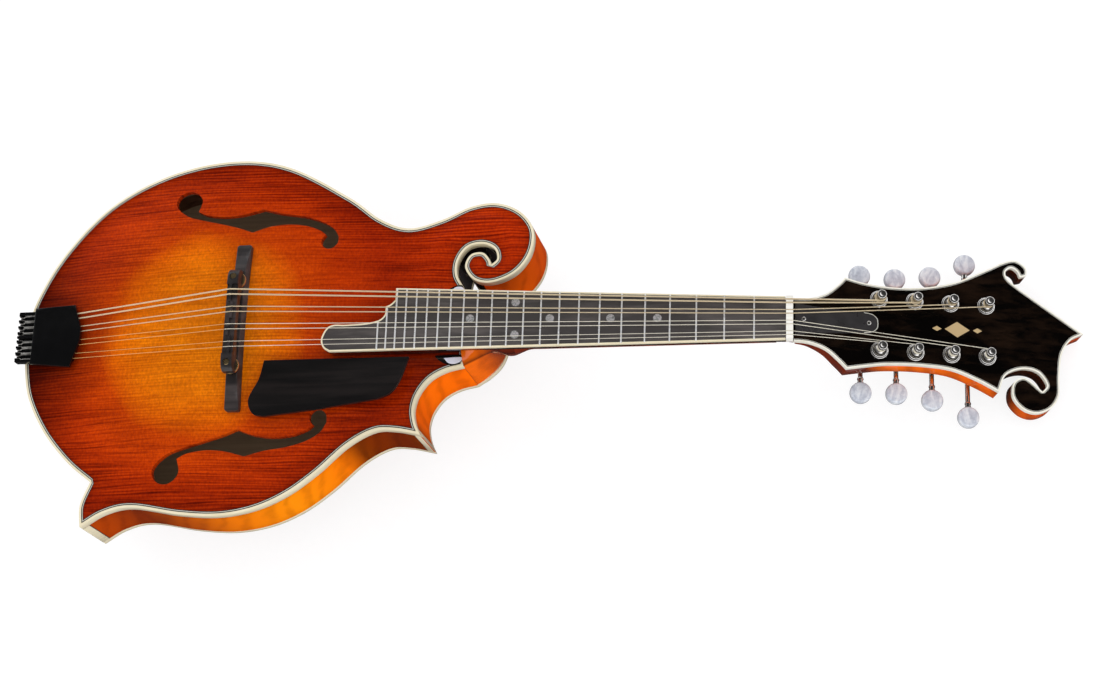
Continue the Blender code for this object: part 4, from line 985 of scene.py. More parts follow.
def back_maple():
    """Two-piece flamed maple back with a sunburst and a seam down the middle."""
    recipe = Recipe("back_maple", 0.4)
    colour = sunburst(recipe, BACK_STOPS, (0.165, 0), (0.11, 0.085))
    x = recipe.axis(0)
    y = recipe.maths("ABSOLUTE", recipe.axis(1))
    across = recipe.vector(recipe.plus(x, recipe.times(y, 0.3)), recipe.times(y, 0.3))
    along = recipe.vector(recipe.times(x, 70.0), recipe.times(y, 26.0))
    colour = flames(recipe, colour, across, along, 0.85)
    recipe.put("Base Color", recipe.shade(colour, recipe.times(y, 1 / MM), [(0.0, 0.5), (0.35, 1.0)]))
    lacquer(recipe)
    return recipe.material


def neck_maple():
    """Stained maple neck: orange at the joint and on the headstock's sides, red-brown between; painted shade
    on the heel's top and in the curls.
    """
    recipe = Recipe("neck_maple", 0.42)
    x = recipe.axis(0, (1 / 0.4, 1, 1), (-0.30 / 0.4, 0, 0))
    colour = recipe.ramp(x, NECK_STOPS)
    # Painted shade on the heel's upper part, under the fretboard's overhang
    height = recipe.times(recipe.plus(recipe.axis(2), -0.019), 160.0)
    shoulder = recipe.maths("MULTIPLY", recipe.maths("LESS_THAN", x, 0.12), height, clamp=True)
    colour = recipe.shade(colour, shoulder, [(0.0, 1.0), (0.35, 0.22), (0.75, 0.5), (1.0, 0.62)])
    # Painted shade inside the headstock's curls
    curl_painted_shade = [(0.3, (0.10, 0.12, 0.3)), (0.46, (0.18, 0.2, 0.4)), (0.6, 1.0)]
    for centre, reach in CURLS:
        colour = recipe.oval(colour, centre, (reach, reach), curl_painted_shade)
    across = recipe.place((1, 0.4, 0.4), turn=(0, 0.2, 0.1))
    colour = flames(recipe, colour, across, (40, 60, 60), 0.4)
    colour = recipe.shade(colour, recipe.noise((14, 700, 700)), [(0.3, 0.8), (0.7, 1.1)], 0.5)
    recipe.put("Base Color", colour)
    lacquer(recipe)
    return recipe.material


def celluloid(name, colour):
    """Polished ivoroid: cream with faint darker lines."""
    recipe = Recipe(name, 0.32, coat=0.6, coat_roughness=0.12)
    tint = [(0.3, (0.93, 0.90, 0.82)), (0.7, (1.03, 1.02, 1.0))]
    recipe.put("Base Color", recipe.shade(colour, recipe.noise((60, 60, 900)), tint))
    translucent(recipe, 0.08, (0.002, 0.0016, 0.001))
    wear(recipe, 0.26, 0.4)
    return recipe.material


def ebony(name, dark, light, roughness, coat=0.0, pores=0.25, sheen=0.5):
    """Dark wood with long brown streaks and fine open pores."""
    recipe = Recipe(name, roughness, coat=coat, coat_roughness=0.08)
    recipe.put("Specular IOR Level", sheen)
    streaks = recipe.noise((14, 210, 210), 1.0, 5, 0.6, 0.4)
    share = recipe.times(streaks, recipe.times(recipe.noise((6, 50, 50), 1.0, 2), 2.0))
    recipe.put("Base Color", recipe.ramp(share, [(0.42, dark), (0.72, light)]))
    holes = recipe.noise((160, 2600, 2600), 1.0, 2)
    recipe.bump(recipe.ramp(holes, [(0.34, 0.0), (0.42, 1.0)]), pores, 0.0001)
    wear(recipe, roughness * 0.85, roughness * 1.25)
    return recipe.material


def metal(name, colour, low, high, purity=1.0):
    """Plated or turned metal with fine scratches and drifting polish."""
    recipe = Recipe(name, low, metallic=purity)
    drift = recipe.times(recipe.noise(PLAIN, 180), 0.35)
    recipe.put("Base Color", recipe.mix(drift, colour, tuple(c * 0.72 for c in colour)))
    wear(recipe, low, high, 120)
    recipe.bump(recipe.noise((900, 60, 900), 3.0), 0.05, 0.0001)
    return recipe.material


def wound(name, colour, pitch):
    """Round wire wrapped on a core: close bands round the string, with painted shade in the grooves between
    them.
    """
    recipe = Recipe(name, 0.3, metallic=0.5)
    wraps = recipe.bands(recipe.vector(recipe.rail()), 2 * math.pi / (20 * pitch), 0.0, 0.0)
    # Painted shade: darker in the grooves between turns
    recipe.put("Base Color", recipe.mix(wraps, tuple(c * 0.55 for c in colour), colour))
    recipe.bump(wraps, 0.5, 0.0001)
    return recipe.material


def plain_wire():
    """Bright drawn steel wire, with a painted reflection of the amber wood between the tailpiece and the
    bridge.
    """
    recipe = Recipe("plain_string", 0.42, metallic=0.4)
    drift = recipe.noise((20, 1, 1), 3.0, 2)
    bright = recipe.ramp(drift, [(0.3, (0.88, 0.82, 0.66)), (0.7, (0.97, 0.92, 0.78))])
    # Painted reflection: the tail length, before the bridge, is coloured amber
    tail = recipe.maths("LESS_THAN", recipe.axis(0), 0.163)
    recipe.put("Base Color", recipe.mix(tail, bright, (0.74, 0.42, 0.14)))
    return recipe.material


def pearl():
    """Pearloid: clouded white and lavender swirls that shimmer."""
    recipe = Recipe("pearloid", 0.22, coat=0.8, coat_roughness=0.08)
    swirl = recipe.noise((1.6, 0.6, 1), 110, 3, 0.5, 1.6)
    fine = recipe.noise(PLAIN, 380, 2, 0.5, 1.0)
    cloud = recipe.plus(recipe.times(swirl, 0.7), recipe.times(fine, 0.3))
    recipe.put("Base Color", recipe.ramp(cloud, [
        (0.30, (0.40, 0.43, 0.50)), (0.45, (0.55, 0.58, 0.65)), (0.55, (0.68, 0.71, 0.76)),
        (0.70, (0.84, 0.86, 0.87)),
    ]))
    translucent(recipe, 0.15, (0.003, 0.003, 0.003))
    recipe.put("Sheen Weight", 0.2)
    recipe.bump(cloud, 0.05)
    return recipe.material


def shell():
    """Mother-of-pearl: silvery, with faint green and pink flashes."""
    recipe = Recipe("shell_dots", 0.2, metallic=0.35)
    flash = recipe.noise(PLAIN, 330, 3, 0.6, 3.0)
    recipe.put("Base Color", recipe.ramp(flash, [
        (0.35, (0.20, 0.19, 0.19)), (0.48, (0.38, 0.40, 0.38)), (0.56, (0.62, 0.56, 0.58)),
        (0.68, (0.30, 0.33, 0.32)),
    ]))
    return recipe.material


def bare_wood(name, light, dark, painted_glow=0.0):
    """Planed, unfinished wood inside the body; an optional painted glow stands for the warm light that
    gathers there.
    """
    recipe = Recipe(name, 0.75)
    recipe.put("Emission Color", (*light, 1))
    recipe.put("Emission Strength", painted_glow)
    fibre = recipe.noise((8, 240, 240), 1.0, 5, 0.6)
    recipe.put("Base Color", recipe.ramp(fibre, [(0.3, dark), (0.7, light)]))
    recipe.bump(fibre, 0.25)
    return recipe.material


def bone():
    """Polished bone with faint lengthwise fibres."""
    recipe = Recipe("bone_polished", 0.35, coat=0.3, coat_roughness=0.2)
    fibre = recipe.noise((80, 500, 80))
    recipe.put("Base Color", recipe.ramp(fibre, [(0.3, (0.80, 0.77, 0.68)), (0.7, (0.90, 0.89, 0.84))]))
    translucent(recipe, 0.15, (0.002, 0.0018, 0.0012))
    return recipe.material


def gloss_black(name, colour, roughness, metallic=0.0, coat=0.5):
    """Black plate or plastic with a soft polish and faint dust marks."""
    recipe = Recipe(name, roughness, metallic=metallic, coat=coat, coat_roughness=0.1)
    marks = recipe.noise(PLAIN, 90, 5)
    recipe.put("Base Color", recipe.ramp(marks, [(0.3, colour), (0.75, tuple(c * 1.8 for c in colour))]))
    wear(recipe, roughness * 0.7, roughness * 1.4, 70)
    return recipe.material


def floor_paper():
    """Plain pale paper: bright to the eye, and dimmer in what it throws back on the object."""
    recipe = Recipe("floor_paper", 0.9)
    seen = recipe.node("LightPath", {}, "Is Camera Ray")
    mirrored = recipe.node("LightPath", {}, "Is Glossy Ray")
    thrown = recipe.mix(mirrored, (0.72, 0.72, 0.72), (0.07, 0.07, 0.07))
    paper = recipe.ramp(recipe.noise(PLAIN, 300, 2), [(0.3, 0.24), (0.7, 0.26)])
    recipe.put("Base Color", recipe.mix(seen, thrown, paper))
    recipe.put("Emission Color", (1, 1, 1, 1))
    recipe.put("Emission Strength", recipe.times(seen, 0.80))
    recipe.put("Specular IOR Level", 0.0)
    return recipe.material


PAINTS = {
    "spruce": spruce(),
    "rib": rib_maple(),
    "slot": slot_painted_shade(),
    "back": back_maple(),
    "neck": neck_maple(),
    "cream": celluloid("cream_binding", (0.82, 0.75, 0.56)),
    "head_cream": celluloid("head_cream", (0.88, 0.87, 0.80)),
    "white_line": celluloid("white_line", (0.62, 0.62, 0.57)),
    # Pale lavender painted reflection, put on the riser's feet
    "painted_gleam": celluloid("painted_reflection", (0.80, 0.81, 0.95)),
    "black_line": gloss_black("black_line", (0.012, 0.011, 0.010), 0.4),
    "cover": gloss_black("rod_cover_plastic", (0.022, 0.020, 0.021), 0.3),
    "black_metal": gloss_black("black_metal", (0.0022, 0.0022, 0.0024), 0.2, 0.3, 0.4),
    "head_ebony": ebony("head_ebony", (0.0014, 0.0009, 0.0007), (0.011, 0.0055, 0.003), 0.28, 0.2, 0.1, 0.02),
    "board_ebony": ebony("board_ebony", (0.050, 0.043, 0.041), (0.105, 0.090, 0.084), 0.5),
    "bridge_ebony": ebony("bridge_ebony", (0.018, 0.014, 0.014), (0.052, 0.040, 0.038), 0.36),
    "guard_ebony": ebony(
        "guard_ebony", (0.0045, 0.0038, 0.0038), (0.012, 0.009, 0.0085), 0.34, 0.2, 0.25, 0.3),
    "riser_ebony": ebony("riser_ebony", (0.003, 0.0026, 0.0026), (0.007, 0.006, 0.006), 0.14, 1.0, 0.05, 0.2),
    "nickel": metal("nickel", (0.78, 0.76, 0.73), 0.08, 0.2),
    "fret": metal("fret_nickel", (0.86, 0.86, 0.86), 0.22, 0.36, 0.45),
    "brass": metal("brass", (0.72, 0.52, 0.26), 0.2, 0.38),
    "steel": metal("steel", (0.60, 0.59, 0.58), 0.25, 0.4),
    "loop_end": metal("loop_end", (0.62, 0.60, 0.56), 0.3, 0.45),
    "inlay": metal("inlay_gold", (0.64, 0.46, 0.23), 0.3, 0.45, 0.2),
    "plain_string": plain_wire(),
    "wound_g": wound("wound_g", (1.0, 0.82, 0.54), 0.00038),
    "wound_d": wound("wound_d", (1.0, 0.82, 0.54), 0.00026),
    "pearl": pearl(),
    "dots": shell(),
    "bone": bone(),
    "inner_spruce": bare_wood("inner_spruce", (0.36, 0.25, 0.15), (0.22, 0.14, 0.08)),
    # The inside of the back has a faint painted glow
    "inner_maple": bare_wood("inner_maple", (0.33, 0.22, 0.13), (0.19, 0.12, 0.07), 0.055),
    "blocks": bare_wood("inner_mahogany", (0.30, 0.15, 0.08), (0.16, 0.07, 0.035)),
}


# ---------------------------------------------------------------- the body


def second_face(item, paint, first, last):
    """Give a range of a mesh's faces another material."""
    item.data.materials.append(PAINTS[paint])
    for face in item.data.polygons[first:last]:
        face.material_index = len(item.data.materials) - 1


def rim_attribute(item, outline):
    """Store how far each point lies from the body's edge, for the sunburst's dark rim."""
    points = np.array([tuple(vertex.co) for vertex in item.data.vertices]) / MM
    layer = item.data.attributes.new("rim", "FLOAT", "POINT")
    distances = edge_distance(points[:, 0] - BUTTON_LENGTH, points[:, 1], outline)
    layer.data.foreach_set("value", distances.astype(np.float32))


def soundboard():
    """The carved spruce soundboard with its two sound holes."""
    lines = sum(width for _, width in PURFLING)
    outlines = [loop(inset(BODY, BINDING_WIDTH + lines + SLIT))] + [f_hole_outline(side) for side in (1, -1)]
    board = slab(
        "carved_soundboard", outlines, top_surface, lambda x, y: top_surface(x, y) - PLATE, cell=PLATE_CELL)
    under = board["top_faces"]
    rim_attribute(board, loop(BODY))
    dress(board, "spruce", stands_for=["soundboard"])
    second_face(board, "inner_spruce", under, 2 * under)


def back():
    """The carved maple back."""
    outline = loop(inset(BACK, BINDING_WIDTH + SLIT))
    plate = slab(
        "carved_back", outline, lambda x, y: back_surface(x, y) + PLATE, back_surface, cell=PLATE_CELL)
    dress(plate, "back", stands_for=["back_plate"])
    second_face(plate, "inner_maple", 0, plate["top_faces"])


def bindings():
    """The cream strips round both plates, and the fine black and white lines beside the top one."""
    for name, edge, high, low, node in (
        ("top_binding", BODY, RIM_TOP, RIM_TOP - BINDING_DEPTH, "binding_top"),
        ("back_binding", BACK, -RIM_TOP + BACK_BINDING_DEPTH, -RIM_TOP, "binding_back"),
    ):
        strip = slab(name, [loop(edge), loop(inset(edge, BINDING_WIDTH))], high, low)
        dress(rounded(strip, 0.3), "cream", stands_for=[node])
    near = BINDING_WIDTH
    for number, (shade, width) in enumerate(PURFLING, 1):
        rings = [loop(inset(BODY, near + 0.01)), loop(inset(BODY, near + width - 0.01))]
        line = slab(f"purfling_{number}_{shade}", rings, RIM_TOP, RIM_TOP - PURFLING_DEPTH)
        dress(line, shade + "_line")
        near += width


def rib(name, run, stands_for=(), paint="rib"):
    """One bent strip of flamed maple that follows a run of the body's edge."""
    path = np.array([tuple(p) for p in run])
    travel = np.concatenate([[0], np.cumsum(np.linalg.norm(np.diff(path, axis=0), axis=1))])
    thickness = np.minimum(RIB, RIB_TIP + RIB_TAPER * np.minimum(travel, travel[-1] - travel))
    along = np.gradient(path, axis=0)
    along /= np.linalg.norm(along, axis=1)[:, None]
    inner = path + np.column_stack([along[:, 1], -along[:, 0]]) * thickness[:, None]
    low = -RIM_TOP + BACK_BINDING_DEPTH
    high = RIM_TOP - BINDING_DEPTH
    rings = []
    for (x, y), (inner_x, inner_y) in zip(path, inner):
        rings.append([(x, y, low), (x, y, high), (inner_x, inner_y, high), (inner_x, inner_y, low)])
    strip = tidied(loft(name, rings, BODY_FRAME), weld=False)
    dress(strip, paint, stands_for=stands_for)
    strip.data.materials.append(PAINTS["inner_maple"])
    for face in strip.data.polygons:
        if face.index % 4 == 2 and face.index < 4 * (len(rings) - 1):
            face.material_index = 1


def ribs():
    """The bent sides of the body, one strip to each run of its edge."""
    bass, slot, joint, cutaway, waist, point, tail = BODY
    turn = min(range(len(bass)), key=lambda k: (bass[k] - Vector(SCROLL_TURN)).length)
    rib("side_bass", bass[:turn + 1], ["rib_bass"])
    # Past the turn, and round the slot, the rib is painted near-black as shade
    rib("side_scroll", bass[turn:], paint="slot")
    rib("side_slot", slot, paint="slot")
    rib("side_cutaway", cutaway, ["rib_cutaway"])
    rib("side_waist", waist, ["rib_waist"])
    rib("side_point", point, ["rib_treble"])
    rib("side_tail", tail)


def travelled(run, distance):
    """The first stretch of a run, up to a distance."""
    kept = [run[0]]
    left = distance
    for start, end in zip(run, run[1:]):
        step = (end - start).length
        if step >= left:
            kept.append(start + (end - start) * (left / step))
            return kept
        kept.append(end)
        left -= step
    return kept


def point_caps():
    """Cream protectors over the full height of the two body points, each with a fine dark line beside it."""
    low = -RIM_TOP + BACK_BINDING_DEPTH - 0.05
    high = RIM_TOP - BINDING_DEPTH + 0.05
    for name, before, after in (("lower", BODY[4], BODY[5]), ("middle", BODY[3], BODY[4])):
        for part, length, proud, paint, slot in (
            ("cap", CAP_LENGTH, 0.08, "cream", "cream_binding"),
            ("line", CAP_LENGTH + CAP_LINE, 0.04, "black_line", "ebony"),
        ):
            incoming = offset_path(travelled(before[::-1], length)[::-1], -proud)
            outgoing = offset_path(travelled(after, length), -proud)
            piece = slab(f"point_{part}_{name}", incoming + outgoing[1:], high, low)
            dress(rounded(piece, 0.15), paint)


# ---------------------------------------------------------------- neck and headstock


def board_half_width(reach):
    """Half the fretboard's width at a distance from the nut."""
    return (NUT_WIDTH + BOARD_FLARE * reach) / 2


def neck_top(station):
    """Height of the neck's glueing face under the fretboard."""
    reach = (NUT_STATION - station) / math.cos(NECK_ANGLE)
    return NUT_Z + reach * math.sin(NECK_ANGLE) - (BOARD_THICKNESS + GAP) / math.cos(NECK_ANGLE)


def rounded_ring(station, top, bottom, half_at, count):
    """A cross-section from its flat top down to its foot; half_at gives the half width on each side."""
    ring = []
    for sign in (1, -1):
        side = []
        for fraction in np.sin(np.linspace(0, math.pi / 2, count)):
            half = max(half_at(sign, fraction), 0.3)
            side.append((station + BUTTON_LENGTH, sign * half, top + (bottom - top) * fraction))
        ring += side[::sign]
    return ring


def neck_ring(station, bottom, bass, treble, roundness):
    """A cross-section of the neck: flat on top, out to a shoulder at the body's rim, and in to its foot.

    bass and treble each hold the half width at the shoulder and at the foot.
    """
    top = neck_top(station)
    width = board_half_width(NUT_STATION - station) - NECK_INSET
    roundness = min(roundness, 1)
    rim = min((top - SHOULDER) / (top - bottom), 0.9)

    def half_at(sign, fraction):
        shoulder, foot = bass if sign > 0 else treble
        if fraction < rim:
            half = width + (shoulder - width) * float(eased(fraction / rim))
        else:
            half = shoulder + (foot - shoulder) * (fraction - rim) / (1 - rim)
        return half * math.sqrt(1.0001 - (fraction * roundness) ** 2)

    return rounded_ring(station, top, bottom, half_at, 18)


def neck_shaft():
    """The heel, which narrows round the back's button, and the slim shaft up to the nut."""
    foot = -RIM_TOP + BACK_BINDING_DEPTH + GAP
    rows = [
        (JOINT_STATION + 0.03, foot, 20.8, 20.8, 27.2, 27.2, 0), (306.5, foot, 20.4, 19.8, 25.0, 24.2, 0),
        (311, foot, 20.2, 18.4, 22.9, 20.6, 0.1), (315, foot, 19.8, 15.6, 20.9, 17.0, 0.2),
        (318.5, foot + 0.3, 19.4, 11.8, 19.6, 12.6, 0.35), (321.5, foot + 1.4, 19.0, 8.5, 19.0, 8.5, 0.6),
        (324.5, foot + 5.5, 18.8, 13, 19.2, 13, 0.75), (328, -7.5, 18.8, 16.5, 20.2, 17.5, 0.8),
        (333, -0.5, 18.6, 18.0, 20.6, 20.0, 0.8), (339, 5.0, 18.2, 18.0, 19.8, 19.4, 0.85),
        (346, 9.0, 17.9, 17.9, 18.3, 18.3, 1),
    ]
    slim = (355, 385, 420, 455, 485, 500)
    for station in slim:
        width = board_half_width(NUT_STATION - station) - NECK_INSET
        run = (NUT_STATION - station) / (NUT_STATION - slim[0])
        rows.append((station, neck_top(station) - NECK_DEPTH - 2.5 * run, width, width, width, width, 1))
    rings = []
    for station, bottom, *halves, roundness in smooth([Vector(row) for row in rows], 4):
        rings.append(neck_ring(station, bottom, halves[:2], halves[2:], roundness))
    return tidied(loft("carved_neck", rings))


def throat():
    """The neck's last stretch, bent back under the nut into the headstock."""
    rings = []
    for along, sunk in ((-8, 0.0), (0, 0.0), (6, 1.0), (14, 3.6), (24, 5.6), (34, 6.4)):
        station = NUT_STATION + along
        drop = max(along - NUT_THICKNESS, 0) * math.tan(HEAD_ANGLE)
        top = neck_top(station) if along <= 4 else NUT_Z - FACE_DROP - VENEER - 1.4 - drop
        bottom = min(neck_top(station), NUT_Z - 5.1) - NECK_DEPTH - drop * 0.9 + sunk * 0.6
        rings.append(rounded_ring(
            station, top, bottom, lambda _, fraction: THROAT_HALF * math.sqrt(1.0001 - fraction ** 2), 14))
    return tidied(loft("throat", rings))


def neck():
    """The maple neck: heel, shaft and headstock in one piece, with the truss rod's channel."""
    shaft = neck_shaft()
    head = slab("head", loop(inset(HEADSTOCK, SLIT)), -VENEER - GAP, -HEAD_THICKNESS, HEAD_FRAME)
    head = rounded(head, 0.8)
    hollow = smooth([(-6, -4.4), (2, -5.4), (9, -7.6), (16, -10.4), (23, -13.0), (30, -14.6)], 4)
    hollow += [Vector((30, -20)), Vector((-6, -20))]
    head = combine(head, slab("hand_stop", hollow, 40, -40, HEAD_FRAME @ ON_EDGE), "DIFFERENCE")
    whole = combine(shaft, throat(), "UNION")
    whole = combine(whole, head, "UNION")
    channel = rectangle((FACE_START + 1, -POCKET_HALF), (24, POCKET_HALF))
    pocket = slab("pocket", channel, 12, -14.6, NECK_FRAME)
    dress(combine(whole, pocket, "DIFFERENCE"), "neck", stands_for=["neck"])


def board_outline(margin=0.0):
    """The fretboard with its long, scooped treble extension, in the neck's frame."""
    treble = board_half_width(EXTENSION_END)
    bass_end = Vector((-BOARD_END, board_half_width(BOARD_END)))
    bass_nut = Vector((-GAP, NUT_WIDTH / 2))
    treble_nut = Vector((-GAP, -NUT_WIDTH / 2))
    extension = smooth([
        (-254.8, 3.2), (-256.6, 0.7), (-260, -1.4), (-268, -3.0), (-280, -3.9), (-288, -4.0),
        (-292.6, -6.8), (-295.4, -13.8), (-293.8, -19.2), (-EXTENSION_END, -treble),
    ])
    scoop = smooth([(-BOARD_END, 13.0), (-251.4, 10.1), (-254.6, 8.4)])
    runs = [
        [bass_nut, bass_end], [bass_end, scoop[0]], scoop, [scoop[-1], extension[0]], extension,
        [extension[-1], treble_nut], [treble_nut, bass_nut],
    ]
    runs = [run[::-1] for run in runs[::-1]]
    return loop(inset(runs, margin) if margin else runs)


def fret_reach(number):
    """Distance from the nut to a fret in equal temperament."""
    return SCALE_LENGTH * (1 - 2 ** (-number / 12))


def open_strip(outer, inner):
    """The strip between two loops, left open at the nut's end, where both have their last side."""
    def from_nut(points):
        ends = sorted(range(len(points)), key=lambda k: -points[k].x)[:2]
        first, last = min(ends), max(ends)
        return points[last:] + points[:first + 1] if last - first == 1 else points[first:last + 1]

    outward = from_nut(outer)
    inward = from_nut(inner)
    start = Vector((outward[0].x, inward[0].y))
    end = Vector((outward[-1].x, inward[-1].y))
    return outward + [end] + inward[-2:0:-1] + [start]


def fretboard():
    """The bound ebony fretboard."""
    inner = board_outline(BOARD_BINDING)
    wood = [Vector((-GAP, p.y)) if p.x > -GAP - BOARD_BINDING - 0.05 else p for p in inner]
    level = -BOARD_BINDING_DEPTH - 0.01
    core = slab("fretboard_wood", wood, 0, level, NECK_FRAME)
    dress(core, "board_ebony", stands_for=["fretboard"])
    bottom = slab("fretboard_under", board_outline(0.1), level, -BOARD_THICKNESS, NECK_FRAME)
    dress(bottom, "riser_ebony")
    strip = open_strip(board_outline(), inner)
    edge = slab("fretboard_binding", strip, 0.02, -BOARD_BINDING_DEPTH, NECK_FRAME)
    dress(rounded(edge, 0.2), "cream")


def frets():
    """Nickel frets with domed crowns, eased at their ends; the last two cross the extension only."""
    angles = np.linspace(0, math.pi, 9)
    crown = [(math.cos(angle) * FRET_HALF, math.sin(angle) * FRET_HEIGHT) for angle in angles]
    bars = []
    for number in range(1, FRET_COUNT + 1):
        reach = fret_reach(number)
        treble = -board_half_width(reach) + FRET_INSET
        bass = -treble if number <= FULL_FRETS else PARTIAL_FRETS[number]
        ends = [(treble, 0.75), (treble + 0.5, 0.1), (treble + 1.0, 0), (bass - 1.0, 0), (bass - 0.5, 0.1)]
        rings = []
        for y, drop in ends + [(bass, 0.75)]:
            rings.append([(x - reach, y, max(z - drop, -0.05) if z > 0.01 else -0.1) for x, z in crown])
        bars.append(tidied(loft("fret", rings, NECK_FRAME)))
    dress(merged("frets", bars), "fret")


def fret_dots():
    """Shell dots halfway between frets."""
    dots = []
    for number, sides in DOTS.items():
        middle = (fret_reach(number) + fret_reach(number - 1)) / 2
        for side in sides:
            dots.append(slab("dot", circle(DOT_RADIUS, 32, (-middle, side)), 0.06, -0.6, NECK_FRAME))
    dress(merged("fret_dots", dots), "dots")


def riser():
    """The glossy black riser that carries the fretboard's extension over the soundboard."""
    level = -BOARD_THICKNESS - SLIT
    start = NUT_STATION + level * math.sin(NECK_ANGLE)
    edge = [Vector((start + p.x * math.cos(NECK_ANGLE), p.y)) for p in board_outline(1.4)]
    limit = JOINT_STATION - 0.6
    kept = []
    for a, b in zip(edge, edge[1:] + edge[:1]):
        if a.x <= limit:
            kept.append(a)
        if (a.x <= limit) != (b.x <= limit):
            kept.append(a + (b - a) * ((limit - a.x) / (b.x - a.x)))

    def under_board(x, y):
        return NUT_Z + level * math.cos(NECK_ANGLE) - (x - start) * math.tan(NECK_ANGLE)

    block = slab("extension_riser", kept, under_board, lambda x, y: plain_top(x, y) - 0.2, cell=3.0)
    dress(block, "riser_ebony", stands_for=["fretboard_riser"])


def riser_feet():
    """Low black feet beside the riser at the neck joint, each with a pale patch of painted reflection."""
    for name, outline, reflection_patch in RISER_FEET:
        for part, knots, high, low, paint in (
            ("foot", outline, 0.5, -0.2, "riser_ebony"), ("painted_gleam", reflection_patch, 0.62, 0.3, "painted_gleam"),
        ):
            piece = slab(
                f"riser_{part}_{name}", loop([smooth(knots + knots[:1], 4)]),
                lambda x, y: plain_top(x, y) + high, lambda x, y: plain_top(x, y) + low, cell=3.0)
            dress(piece, paint)


def nut():
    """The bone nut, cut with eight string slots across its top."""
    half = NUT_WIDTH / 2
    top = NUT_HEIGHT + 0.55
    chamfer = 0.7
    profile = [(-half, -BOARD_THICKNESS), (half, -BOARD_THICKNESS), (half, top - 0.9), (half - chamfer, top)]
    for index, (_, radius) in enumerate(STRINGS):
        side = course_side(index, *NUT_SPREAD)
        slot = radius + 0.08
        profile.append((side + slot, top))
        middle = NUT_HEIGHT + 0.1 + radius
        for angle in np.linspace(0, math.pi, 9):
            profile.append((side + slot * math.cos(angle), middle - slot * math.sin(angle)))
        profile.append((side - slot, top))
    profile += [(chamfer - half, top), (-half, top - 0.9)]
    profile = [Vector(point) for point in profile]
    block = slab("bone_nut", profile, NUT_THICKNESS, GAP, NECK_FRAME @ CROSSWISE)
    dress(block, "bone", stands_for=["nut"])


def post_frame(row, side):
    """The axis of one tuning post."""
    return HEAD_FRAME @ Matrix.Translation(Vector((POST_ROWS[row], side * POST_SIDE, 0)))


def headstock_loop(margin):
    """The headstock's edge moved inwards everywhere but at the nut, from one nut corner to the other."""
    points = loop(inset(HEADSTOCK, margin)) if margin else loop(HEADSTOCK)
    points = [p for p in points if p.x > HEADSTOCK[-1][0].x + margin + 0.3]
    return [Vector((HEAD_START, points[0].y))] + points + [Vector((HEAD_START, points[-1].y))]


def headstock_face():
    """The ebony face with its cream binding and two fine lines."""
    near = 0.0
    for number, (paint, width, depth, slot) in enumerate((
        ("head_cream", HEAD_BINDING, VENEER, "cream_binding"), ("black_line", 0.35, 1.2, "ebony"),
        ("white_line", 0.25, 1.2, "cream_binding"),
    ), 1):
        edge = headstock_loop(near) + headstock_loop(near + width - 0.01)[::-1]
        strip = slab(f"headstock_edge_{number}", edge, 0, -depth, HEAD_FRAME)
        dress(strip, paint, stands_for=["headstock_binding"] if number == 1 else ())
        near += width
    posts = [circle(POST_RADIUS + 0.3, 24, (row, side * POST_SIDE)) for side in (1, -1) for row in POST_ROWS]
    pocket = rectangle((FACE_START + 2.5, -POCKET_HALF), (18, POCKET_HALF))
    face = slab("headstock_face", [headstock_loop(near)] + posts + [pocket], 0, -VENEER, HEAD_FRAME)
    dress(face, "head_ebony", stands_for=["headstock_veneer"])


def ferrules():
    """A stepped nickel ferrule round each string post."""
    hole = POST_RADIUS + 0.16
    profile = [
        (hole, 1.5), (hole + 0.35, FERRULE_HEIGHT), (4.3, FERRULE_HEIGHT), (4.75, 1.35), (4.95, 0.95),
        (5.3, 0.85), (5.62, 0.6), (FERRULE_RADIUS, 0.25), (FERRULE_RADIUS, 0.01), (hole, 0.01), (hole, 1.5),
    ]
    spots = [(row, side) for side in (1, -1) for row in range(len(POST_ROWS))]
    for number, (row, side) in enumerate(spots, 1):
        dress(turned(f"ferrule_{number}", profile, post_frame(row, side), 56), "nickel")


def inlay():
    """A plain lozenge between two small ones."""
    inlays = []
    for middle, length, width in ((104, 8, 5.2), (91, 3, 1.7), (117, 3, 1.7)):
        corners = ((middle - length, 0), (middle, width), (middle + length, 0), (middle, -width))
        inlays.append(slab("inlay", [Vector(p) for p in corners], 0.04, -0.5, HEAD_FRAME))
    dress(merged("lozenge_inlay", inlays), "inlay")


def rod_cover():
    """The truss-rod cover, its pale lip and its two screws."""
    half = smooth([(0.2, 10.4), (14, 8.7), (34, 7.3), (44, 6.9), (49.5, 5.9), (52.4, 3.3), (53, 0)], 6)
    outline = half + [Vector((p.x, -p.y)) for p in half[-2::-1]]
    cover = slab("rod_cover", outline, 2.2, GAP, HEAD_FRAME)
    dress(rounded(cover, 0.55), "cover", stands_for=["truss_rod_cover"], even=True)
    rim = [(p.x - 0.25, p.y * 0.965, 2.06) for p in outline if p.x > 43]
    dress(wire("rod_cover_lip", rim, 0.28, HEAD_FRAME, 8), "white_line")
    profile = [(0, 0.75), (0.5, 0.74), (1.1, 0.55), (1.45, 0.2), (1.5, 0), (0, 0)]
    for number, along in enumerate((5.6, 47.2), 1):
        spot = HEAD_FRAME @ Matrix.Translation(Vector((along, 0, 2.1)))
        screw = slotted(f"cover_screw_{number}", profile, spot, 24, (1.6, 0.16), (1.2, 0.42))
        dress(screw, "nickel")


# ---------------------------------------------------------------- bridge and tailpiece


def post_spot(side):
    """The axis of one of the bridge's two posts."""
    return BODY_FRAME @ Matrix.Translation(Vector((BRIDGE_STATION, side * BRIDGE_POST_SIDE, 0)))


